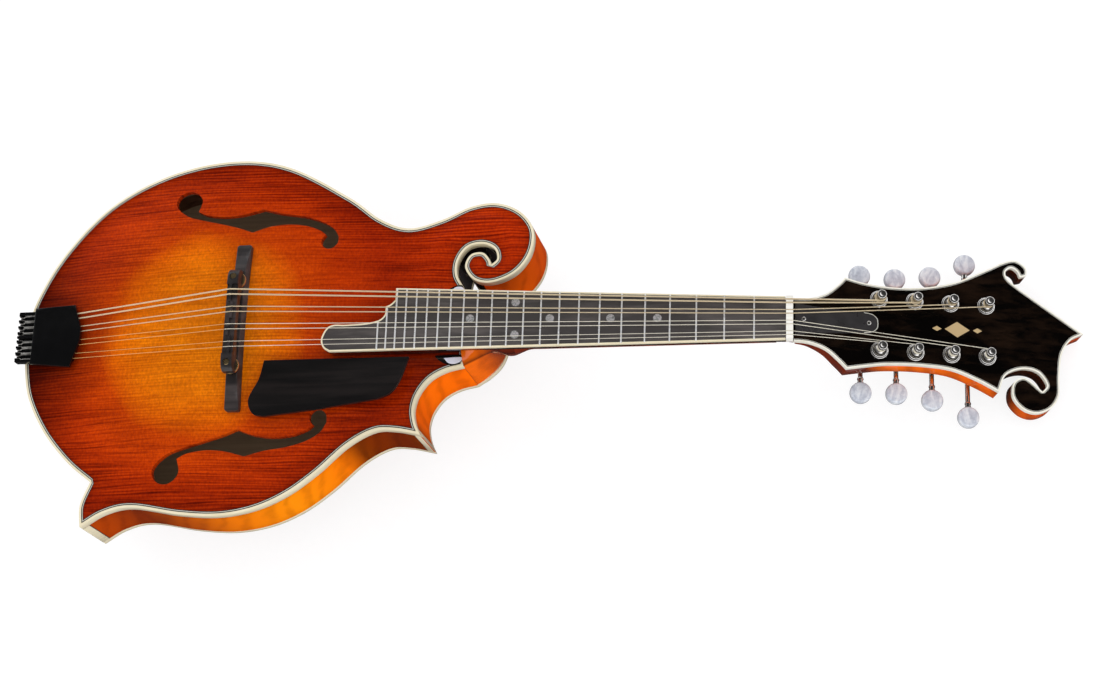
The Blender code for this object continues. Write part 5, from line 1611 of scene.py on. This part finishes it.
def bridge_foot():
    """The ebony foot of the bridge, fitted to the arch."""
    half = BRIDGE_SPAN / 2
    end_top = float(plain_top(np.array(BRIDGE_STATION), np.array(half))) + 4.0
    profile = smooth([(half, end_top), (half - 8, end_top + 1.2), (39, BASE_TOP - 0.6), (33, BASE_TOP)])
    across = np.array([0.0] + [p.x for p in profile[::-1]])
    heights = np.array([BASE_TOP] + [p.y for p in profile[::-1]])
    near, far = BRIDGE_STATION - BRIDGE_WIDTH / 2, BRIDGE_STATION + BRIDGE_WIDTH / 2
    base = slab(
        "bridge_foot", rectangle((near, -half), (far, half), 1.4),
        lambda x, y: np.interp(np.abs(y), across, heights), lambda x, y: plain_top(x, y) + 0.02, cell=2.4)
    dress(rounded(base, 0.7, 2, 60), "bridge_ebony", stands_for=["bridge_base"])


def bridge_posts():
    """The two threaded brass posts."""
    low, high = BASE_TOP - 2, CROWN - 1.2
    for name, side in SIDES:
        thread = []
        for step in range(96):
            thread.append((BRIDGE_POST_RADIUS - 0.12 * (step % 2), low + (high - low) * step / 95))
        profile = [(0, high)] + thread[::-1] + [(0, low)]
        dress(turned(f"bridge_post_{name}", profile, post_spot(side), 24), "brass", soft=False)


def saddle():
    """The saddle that slides on the posts, stepped for each pair of strings and notched for each string."""
    half = SADDLE_SPAN / 2
    upper = smooth([(half, SADDLE_LOW + 4.6), (half - 3, CROWN - 1.6), (half - 10, CROWN - 0.4), (0, CROWN)])
    lower = smooth([(half, SADDLE_LOW), (22, SADDLE_LOW), (14, SADDLE_LOW + 1.6), (0, SADDLE_LOW + 2.4)])
    right = lower[::-1] + upper
    outline = right + [Vector((-p.x, p.y)) for p in right[-2:0:-1]]
    place = BODY_FRAME @ Matrix.Translation(Vector((BRIDGE_STATION, 0, 0))) @ CROSSWISE
    block = rounded(slab("stepped_saddle", outline, SADDLE_WIDTH / 2, -SADDLE_WIDTH / 2, place), 0.35, 2, 60)
    cutters = []
    for index, shift in enumerate(COMPENSATION):
        low, high = COURSE_EDGES[index + 1], COURSE_EDGES[index]
        contact = BRIDGE_STATION + shift
        for near, far, depth in ((contact - 12, contact - 0.9, 2.2), (contact + 0.9, contact + 12, 1.6)):
            cutters.append(slab("step", rectangle((near, low), (far, high)), CROWN + 4, CROWN - depth))
    for side in (1, -1):
        cutters.append(slab("post_hole", circle(BRIDGE_POST_RADIUS + 0.2, 32), 100, 0, post_spot(side)))
    for index, (_, radius) in enumerate(STRINGS):
        side = course_side(index, *SADDLE_SPREAD)
        level = STRING_HEIGHT + radius
        path = [(BRIDGE_STATION + x, side, level - 0.25 * (x != 0)) for x in (-9, 0, 9)]
        cutters.append(tidied(wire("notch", path, radius + 0.06, BODY_FRAME, 12)))
    for cutter in cutters:
        block = combine(block, cutter, "DIFFERENCE")
    dress(block, "bridge_ebony", "saddle", ["bridge_saddle"])


def thumbwheels():
    """The two knurled wheels that carry the saddle."""
    high = THUMBWHEEL_LOW + THUMBWHEEL_THICKNESS
    hole = circle(BRIDGE_POST_RADIUS + 0.3, 32)
    rim = []
    for k in range(KNURLS * 2):
        radius = THUMBWHEEL_RADIUS - KNURL_DEPTH * (k % 2)
        angle = math.pi * k / KNURLS
        rim.append(Vector((radius * math.cos(angle), radius * math.sin(angle))))
    for name, side in SIDES:
        wheel = slab(f"knurled_wheel_{name}", [rim, hole], high, THUMBWHEEL_LOW, post_spot(side))
        node = f"thumbwheel_{name}"
        dress(rounded(wheel, 0.12, 1, 60), "brass", node, [node], soft=False)


def hook_side(index):
    """Where a string's loop sits across the tailpiece."""
    return -(index - 3.5) * HOOK_SPACING + math.copysign(0.8, 3.5 - index)


def tailpiece_base():
    """The bent black plate with its comb of hooks and three fins."""
    level = TAILPIECE_FLOOR
    plate = slab("tailpiece_plate", rectangle((-1.8, -17.5), (38, 17.5), 2.0), level, level - 1.3)
    bar = rectangle((COMB_STATION, -17.5), (COMB_STATION + 2.4, 17.5), 0.5)
    parts = [
        slab("leg", rectangle((-1.8, -13), (-0.6, 13)), level - 0.3, -9),
        slab("bar", bar, level + 0.6, level - 1.3),
    ]
    for side in (hook_side(index) for index in range(len(STRINGS))):
        tooth = rectangle((COMB_STATION, side - 0.75), (COMB_STATION + TOOTH_THICKNESS, side + 0.75), 0.3)
        parts.append(slab("tooth", tooth, level + 3.6, level - 0.5))
    for side in (16.6, 0.0, -16.6):
        fin = rectangle((COMB_STATION, side - 0.9), (12, side + 0.9), 0.4)
        parts.append(slab("fin", fin, level + 3.4, level - 0.8))
    for part in parts:
        plate = combine(plate, part, "UNION")
    hole = slab("screw_hole", circle(3.2, 32), 30, -30, Matrix.Rotation(math.radians(90), 4, "Y"))
    plate = combine(plate, hole, "DIFFERENCE")
    dress(rounded(plate, 0.25, 2, 60), "black_metal", stands_for=["tailpiece_base"])


def tailpiece_cover():
    """The folded black cover: flat along its middle, and sloped away to both sides."""
    half = [Vector(p) for p in ((9.2, 19.4), (36.4, 21.6), (38.6, 15.2), (TAILPIECE_FRONT, 4.4))]
    outline = half + [Vector((p.x, -p.y)) for p in half[::-1]]

    def folded(x, y):
        side = np.maximum(np.abs(y) - 4.4, 0)
        return COVER_TOP - 0.11 * side * eased((x - 8) / 26) - 0.02 * side

    cover = slab("folded_cover", outline, folded, TAILPIECE_FLOOR + GAP, cell=2.2)
    hollow = slab("hollow", rectangle((0, -17.6), (60, 17.6)), COVER_TOP - 3.2, TAILPIECE_FLOOR - 2)
    cover = combine(cover, hollow, "DIFFERENCE")
    ground = slab("ground", rectangle((0, -30), (60, 30)), lambda x, y: plain_top(x, y) + GAP, 0, cell=3)
    cover = combine(cover, ground, "DIFFERENCE")
    dress(rounded(cover, 0.3, 2, 60), "black_metal", stands_for=["tailpiece_cover"])


def strap_button():
    """The turned strap button, with its pin in the tail block."""
    button = turned("turned_strap_button", [
        (0, 0), (5.2, 0), (5.9, -0.25), (6.4, -0.8), (6.6, -1.5), (6.6, -2.6), (6.1, -3.4), (4.8, -4.4),
        (4.1, -5.4), (4.0, -6.5), (4.2, -7.6), (5.2, -8.7), (6.4, -9.4), (6.4, -10.0), (3.0, -10.0),
        (2.4, -30), (0, -30),
    ], Matrix.Rotation(math.radians(-90), 4, "Y"), 48)
    dress(button, "riser_ebony", stands_for=["strap_button"])


def pickguard():
    """The raised pickguard with its eased edge."""
    runs = [
        smooth([(174, -24.6), (171.5, -37), (165.4, -50.5), (168.6, -60), (176, -62.4)]),
        smooth([(176, -62.4), (206, -59.2), (236, -55.2), (251, -53)]),
        smooth([(251, -53), (259.5, -49.4), (265.5, -40.5), (270.5, -25.6)]),
    ]
    guard = slab("finger_rest", loop(runs), PICKGUARD_LOW + PICKGUARD_THICKNESS, PICKGUARD_LOW)
    dress(rounded(guard, 0.6, 3), "guard_ebony", stands_for=["pickguard"], even=True)


# ---------------------------------------------------------------- tuning machines


def tuner_button(number, row, side):
    """A pearloid button on a nickel shaft, with the worm that drives the post's gear."""
    spot = Vector((POST_ROWS[row] - WORM_OFFSET, side * POST_SIDE, DRIVE_LEVEL))
    place = HEAD_FRAME @ Matrix.Translation(spot) @ Matrix.Rotation(math.radians(-side * 90), 4, "X")
    reach = BUTTON_REACH[row]
    body = f"tuner_button_{number}"
    rings = [(-5.6, 1.2, 0, 0), (-5.4, SHAFT_RADIUS, 0, 0), (-3.2, SHAFT_RADIUS, 0, 0)]
    for share in np.linspace(0, 1, WORM_STEPS + 1):
        height = WORM_HALF * (2 * share - 1)
        rings.append((height, WORM_RADIUS - WORM_DEPTH, WORM_DEPTH, 2 * math.pi * WORM_TURNS * share))
    collar = reach - BUTTON_RADIUS
    for height, radius in (
        (3.2, SHAFT_RADIUS), (5.6, SHAFT_RADIUS), (collar - 3.4, SHAFT_RADIUS), (collar - 3.0, 1.9),
        (collar - 2.2, 2.1), (collar - 1.2, 1.7), (collar + 0.2, 2.0), (collar + 2.0, 1.2),
    ):
        rings.append((height, radius, 0, 0))
    skin = []
    for height, radius, off, angle in rings:
        across, along = off * math.cos(angle), off * math.sin(angle)
        skin.append([
            (across + radius * math.cos(a), along + radius * math.sin(a), height)
            for a in np.linspace(0, 2 * np.pi, 20, endpoint=False)
        ])
    dress(loft(f"worm_shaft_{number}", skin, place), "nickel", body)
    face = place @ Matrix.Translation(Vector((0, 0, reach))) @ Matrix.Rotation(math.radians(90), 4, "X")
    half = BUTTON_THICKNESS / 2
    outline = [(0, half)]
    for angle in np.linspace(math.pi / 2, -math.pi / 2, 17):
        swell = abs(math.sin(angle)) ** 0.8 * math.copysign(1, math.sin(angle))
        outline.append((BUTTON_RADIUS - 1.5 + 1.5 * math.cos(angle) ** 0.8, half * swell * 0.985))
    outline.append((0, -half))
    dress(turned(f"pearl_button_{number}", outline, face, 56), "pearl", body, [body])


def tuner_post(number, row, side):
    """A nickel string post with its toothed gear and the screw that holds it."""
    body = f"tuner_post_{number}"
    place = post_frame(row, side)
    low = DRIVE_LEVEL + GEAR_THICKNESS / 2
    waist = POST_RADIUS - 0.6
    post = turned(f"string_post_{number}", [
        (0, POST_TOP - 0.35), (1.2, POST_TOP - 0.35), (1.6, POST_TOP - 0.05), (2.3, POST_TOP),
        (2.8, POST_TOP - 0.25), (POST_RADIUS, POST_TOP - 0.8), (POST_RADIUS, 8.4), (2.8, 8.0), (waist, 7.7),
        (waist, 3.4), (2.8, 3.1), (POST_RADIUS, 2.8), (POST_RADIUS, low - 0.5), (0, low - 0.5),
    ], place)
    dress(post, "nickel", body, [body])
    outline = []
    for tooth in range(GEAR_TEETH):
        for part, radius in ((-0.34, 4.25), (-0.16, GEAR_RADIUS), (0.16, GEAR_RADIUS), (0.34, 4.25)):
            angle = 2 * math.pi * (tooth + part) / GEAR_TEETH
            outline.append(Vector((radius * math.cos(angle), radius * math.sin(angle))))
    gear = slab(f"post_gear_{number}", outline, low, low - GEAR_THICKNESS, place)
    dress(rounded(gear, 0.15, 1, 60), "brass", body, soft=False)
    spot = place @ Matrix.Translation(Vector((0, 0, low - GEAR_THICKNESS)))
    profile = [(0, 0.3), (2.2, 0.3), (2.2, -0.4), (1.6, -0.75), (0, -0.8)]
    head = slotted(f"gear_screw_{number}", profile, spot, 28, (3, 0.25), (-0.45, -2))
    dress(head, "nickel", body)


def tuner_plate(name, side):
    """One side's nickel plate with a pair of bearing lugs for each shaft, and its screws."""
    low = -HEAD_THICKNESS - TUNER_PLATE
    near, far = sorted((side * (POST_SIDE - 7.4), side * (POST_SIDE + 7.0)))
    holes = [circle(POST_RADIUS + 0.2, 28, (row, side * POST_SIDE)) for row in POST_ROWS]
    outline = rectangle((POST_ROWS[0] - 14, near), (POST_ROWS[-1] + 8, far), 2.6, 6)
    plate = slab(f"machine_plate_{name}", [outline] + holes, -HEAD_THICKNESS - SLIT, low, HEAD_FRAME)
    dress(rounded(plate, 0.2, 2, 60), "nickel", stands_for=[f"tuner_plate_{name}"], even=True)
    lugs = []
    for row in POST_ROWS:
        middle = row - WORM_OFFSET
        profile = [Vector((middle - LUG_HALF, low + 0.2)), Vector((middle + LUG_HALF, low + 0.2))]
        for angle in np.linspace(0, math.pi, 13):
            crest = DRIVE_LEVEL - 2.2 * math.sin(angle)
            profile.append(Vector((middle + LUG_HALF * math.cos(angle), crest)))
        hole = circle(SHAFT_RADIUS + 0.2, 24, (middle, DRIVE_LEVEL))
        for start, end in ((-5.4, -3.8), (3.8, 5.4)):
            a, b = sorted((side * (POST_SIDE + start), side * (POST_SIDE + end)))
            lugs.append(slab("lug", [profile, hole], -a, -b, HEAD_FRAME @ ON_EDGE))
    dress(merged(f"machine_lugs_{name}", lugs), "nickel")
    profile = [(0, 0.2), (1.5, 0.2), (1.5, -0.1), (1.1, -0.6), (0, -0.75)]
    screws = []
    ends = ((POST_ROWS[0] - 11, 0), (POST_ROWS[-1] + 5.4, 0))
    halfway = [((a + b) / 2, 4.4) for a, b in zip(POST_ROWS, POST_ROWS[1:])]
    for along, out in (ends[0], *halfway, ends[1]):
        spot = HEAD_FRAME @ Matrix.Translation(Vector((along, side * (POST_SIDE + out), low)))
        screws.append(slotted("screw", profile, spot, 20, (2, 0.18), (-0.42, -2)))
    dress(merged(f"machine_screws_{name}", screws), "nickel")


# ---------------------------------------------------------------- strings


def course_side(index, course_spacing, pair_half_gap):
    """Where a string runs across the instrument, from its course and its place in the pair."""
    return COURSE_SIGNS[index] * course_spacing + PAIR_SIGNS[index] * pair_half_gap


def between(start, end, steps):
    """Points on a straight line."""
    return [start + (end - start) * (step / steps) for step in range(steps + 1)]


def stretched_lengths(name, radius, paint, front_run, saddle_spot, nut_spot):
    """The lengths on both sides of the saddle."""
    start, front = front_run
    tail_path = between(start, front, 4) + between(front, saddle_spot, 24)[1:]
    tail = wire(f"tail_length_{name}", tail_path, radius)
    playing = wire(f"playing_length_{name}", between(saddle_spot, nut_spot, 60), radius)
    for piece, still in ((tail, front), (playing, nut_spot)):
        piece.data.materials.append(PAINTS[paint])
        piece.data.shade_smooth()
        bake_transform(piece)
    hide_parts(f"string_{name}")


def winding(name, radius, paint, nut_spots, turns, place, side):
    """The length over the headstock, and its turns on the post."""
    last = place.inverted() @ nut_spots[1]
    reach = POST_RADIUS - 0.5 + radius
    begin = math.atan2(last.y, last.x) + side * math.acos(reach / math.hypot(last.x, last.y))
    coil = []
    for step in range(turns * COIL_STEPS + 1):
        angle = begin + side * 2 * math.pi * step / COIL_STEPS
        height = WINDING_TOP - radius - (2 * radius + 0.05) * step / COIL_STEPS
        coil.append(place @ Vector((reach * math.cos(angle), reach * math.sin(angle), height)))
    path = nut_spots[:1] + between(nut_spots[1], coil[0], 12)[:-1] + coil
    dress(wire(f"head_length_{name}", path, radius, sides=8), paint)


def loop_end(name, hook, across, level):
    """The twisted loop that holds the string on its hook."""
    strands = []
    for phase in (0, math.pi):
        strand = []
        for share in np.linspace(0, 1, 73):
            angle = phase + 2 * math.pi * 5 * share
            strand.append((
                hook + 2.2 + 8.0 * share, across + 0.5 * math.cos(angle), level + 0.5 * math.sin(angle),
            ))
        strands.append(wire("strand", strand, 0.5, sides=8))
    ring = []
    for angle in np.radians(np.linspace(20, 340, 33)):
        ring.append((hook + 0.25 + 2.0 * math.cos(angle), across + 1.35 * math.sin(angle), level))
    strands.append(wire("ring", ring, 0.42, sides=8))
    dress(merged(f"loop_end_{name}", strands), "loop_end")


def string(index):
    """One string: tail length, playing length, turns on the post and twisted loop end."""
    name, radius = STRINGS[index]
    side, row = TUNER_ORDER[index]
    wrapped = index < WOUND_STRINGS
    paint = ("wound_g" if index < 2 else "wound_d") if wrapped else "plain_string"
    hook = COMB_STATION + TOOTH_THICKNESS + BUTTON_LENGTH
    across = hook_side(index)
    start = Vector((hook + 9.5, across * 0.98, TAILPIECE_FLOOR + 1.5))
    front_side = course_side(index, *FRONT_SPREAD)
    front = Vector((TAILPIECE_FRONT - 4 + BUTTON_LENGTH, front_side, RIM_TOP + 8.2))
    contact = BRIDGE_STATION + BUTTON_LENGTH + COMPENSATION[index // 2]
    saddle_spot = Vector((contact, course_side(index, *SADDLE_SPREAD), STRING_HEIGHT + radius))
    nut_side = course_side(index, *NUT_SPREAD)
    nut_spots = [
        NECK_FRAME @ Vector((along, nut_side, NUT_HEIGHT + 0.1 + radius))
        for along in (0.3, NUT_THICKNESS - 0.3)
    ]
    stretched_lengths(name, radius, paint, (start, front), saddle_spot, nut_spots[0])
    winding(name, radius, paint, nut_spots, 3 if wrapped else 5, post_frame(row, side), side)
    loop_end(name, hook, across, TAILPIECE_FLOOR + 1.45)


# ---------------------------------------------------------------- stage


def inner_parts():
    """The solids inside the body keep their CAD shape and get bare wood or metal."""
    kept = {
        "blocks": ("lining_top", "lining_back", "head_block", "tail_block", "point_block_lower",
                   "point_block_mid"),
        "inner_spruce": ("tone_bar_bass", "tone_bar_treble"),
        "steel": ("truss_rod",),
        "brass": ("truss_rod_nut",),
        "guard_ebony": ("pickguard_support",),
    }
    for paint, nodes in kept.items():
        for node in nodes:
            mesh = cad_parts[node].data
            mesh.materials.clear()
            mesh.materials.append(PAINTS[paint])


def floor():
    """A plain pale floor just under the instrument."""
    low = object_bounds()[0].z / MM - 0.5
    half = FLOOR_SIZE / MM / 2
    corners = [(p.x, p.y, low) for p in rectangle((-half, -half), (half, half))]
    sheet = made("floor", corners, [(0, 1, 2, 3)])
    sheet.data.materials.append(floor_paper())
    sheet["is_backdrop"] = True


def sky():
    """Light that comes mostly from low down all round; mirrored light falls off upwards."""
    world = bpy.data.worlds.new("studio")
    bpy.context.scene.world = world
    world.use_nodes = True
    nodes = world.node_tree.nodes
    links = world.node_tree.links
    split = nodes.new("ShaderNodeSeparateXYZ")
    links.new(nodes.new("ShaderNodeTexCoord").outputs["Generated"], split.inputs[0])
    share = nodes.new("ShaderNodeMix")
    share.data_type = "RGBA"
    links.new(nodes.new("ShaderNodeLightPath").outputs["Is Glossy Ray"], share.inputs[0])
    for socket, stops in ((6, SOFT_LIGHT), (7, REFLECTED_LIGHT)):
        scale = nodes.new("ShaderNodeValToRGB")
        fill_ramp(scale.color_ramp, [(position, (grey, grey, grey * 1.02)) for position, grey in stops])
        links.new(split.outputs[2], scale.inputs[0])
        links.new(scale.outputs[0], share.inputs[socket])
    links.new(share.outputs[2], nodes["Background"].inputs[0])
    nodes["Background"].inputs[1].default_value = SKY_STRENGTH


def aimed(item, spot, target, sideways, roll=0.0):
    """Put a lamp or camera in the scene, facing a target."""
    back = (Vector(spot) - Vector(target)).normalized()
    right = Vector(sideways)
    right = (right - back * back.dot(right)).normalized()
    turn = Matrix((right, back.cross(right), back)).transposed().to_4x4()
    item.matrix_world = Matrix.Translation(Vector(spot)) @ turn @ Matrix.Rotation(roll, 4, "Z")
    bpy.context.scene.collection.objects.link(item)


def lamps():
    """Two large soft lamps that light the wood without being mirrored in it."""
    for name, spot, size, power in LAMPS:
        data = bpy.data.lights.new(name, "AREA")
        data.energy = power
        data.size = size
        lamp = bpy.data.objects.new(name, data)
        lamp.visible_glossy = False
        aimed(lamp, spot, LAMP_TARGET, (1, 0, 0))


def camera():
    """The camera, in front and a little to the treble side."""
    data = bpy.data.cameras.new("camera")
    data.sensor_width = 36
    data.lens = LENS
    item = bpy.data.objects.new("camera", data)
    aimed(item, EYE, LOOK_AT, Vector((0, 1, 0)).cross(EYE - LOOK_AT), CAMERA_ROLL)
    bpy.context.scene.camera = item
    bpy.context.scene.view_settings.view_transform = "Standard"


for build in (
    soundboard, back, bindings, ribs, point_caps, neck, fretboard, frets, fret_dots, riser, riser_feet, nut,
    headstock_face, ferrules, inlay, rod_cover, bridge_foot, bridge_posts, saddle, thumbwheels,
    tailpiece_base, tailpiece_cover, strap_button, pickguard,
):
    build()
for side_name, side_sign in SIDES:
    tuner_plate(side_name, side_sign)
for tuner_number, (tuner_side, tuner_row) in enumerate(TUNER_ORDER, 1):
    tuner_button(tuner_number, tuner_row, tuner_side)
    tuner_post(tuner_number, tuner_row, tuner_side)
for string_index in range(len(STRINGS)):
    string(string_index)
inner_parts()
floor()
sky()
lamps()
camera()
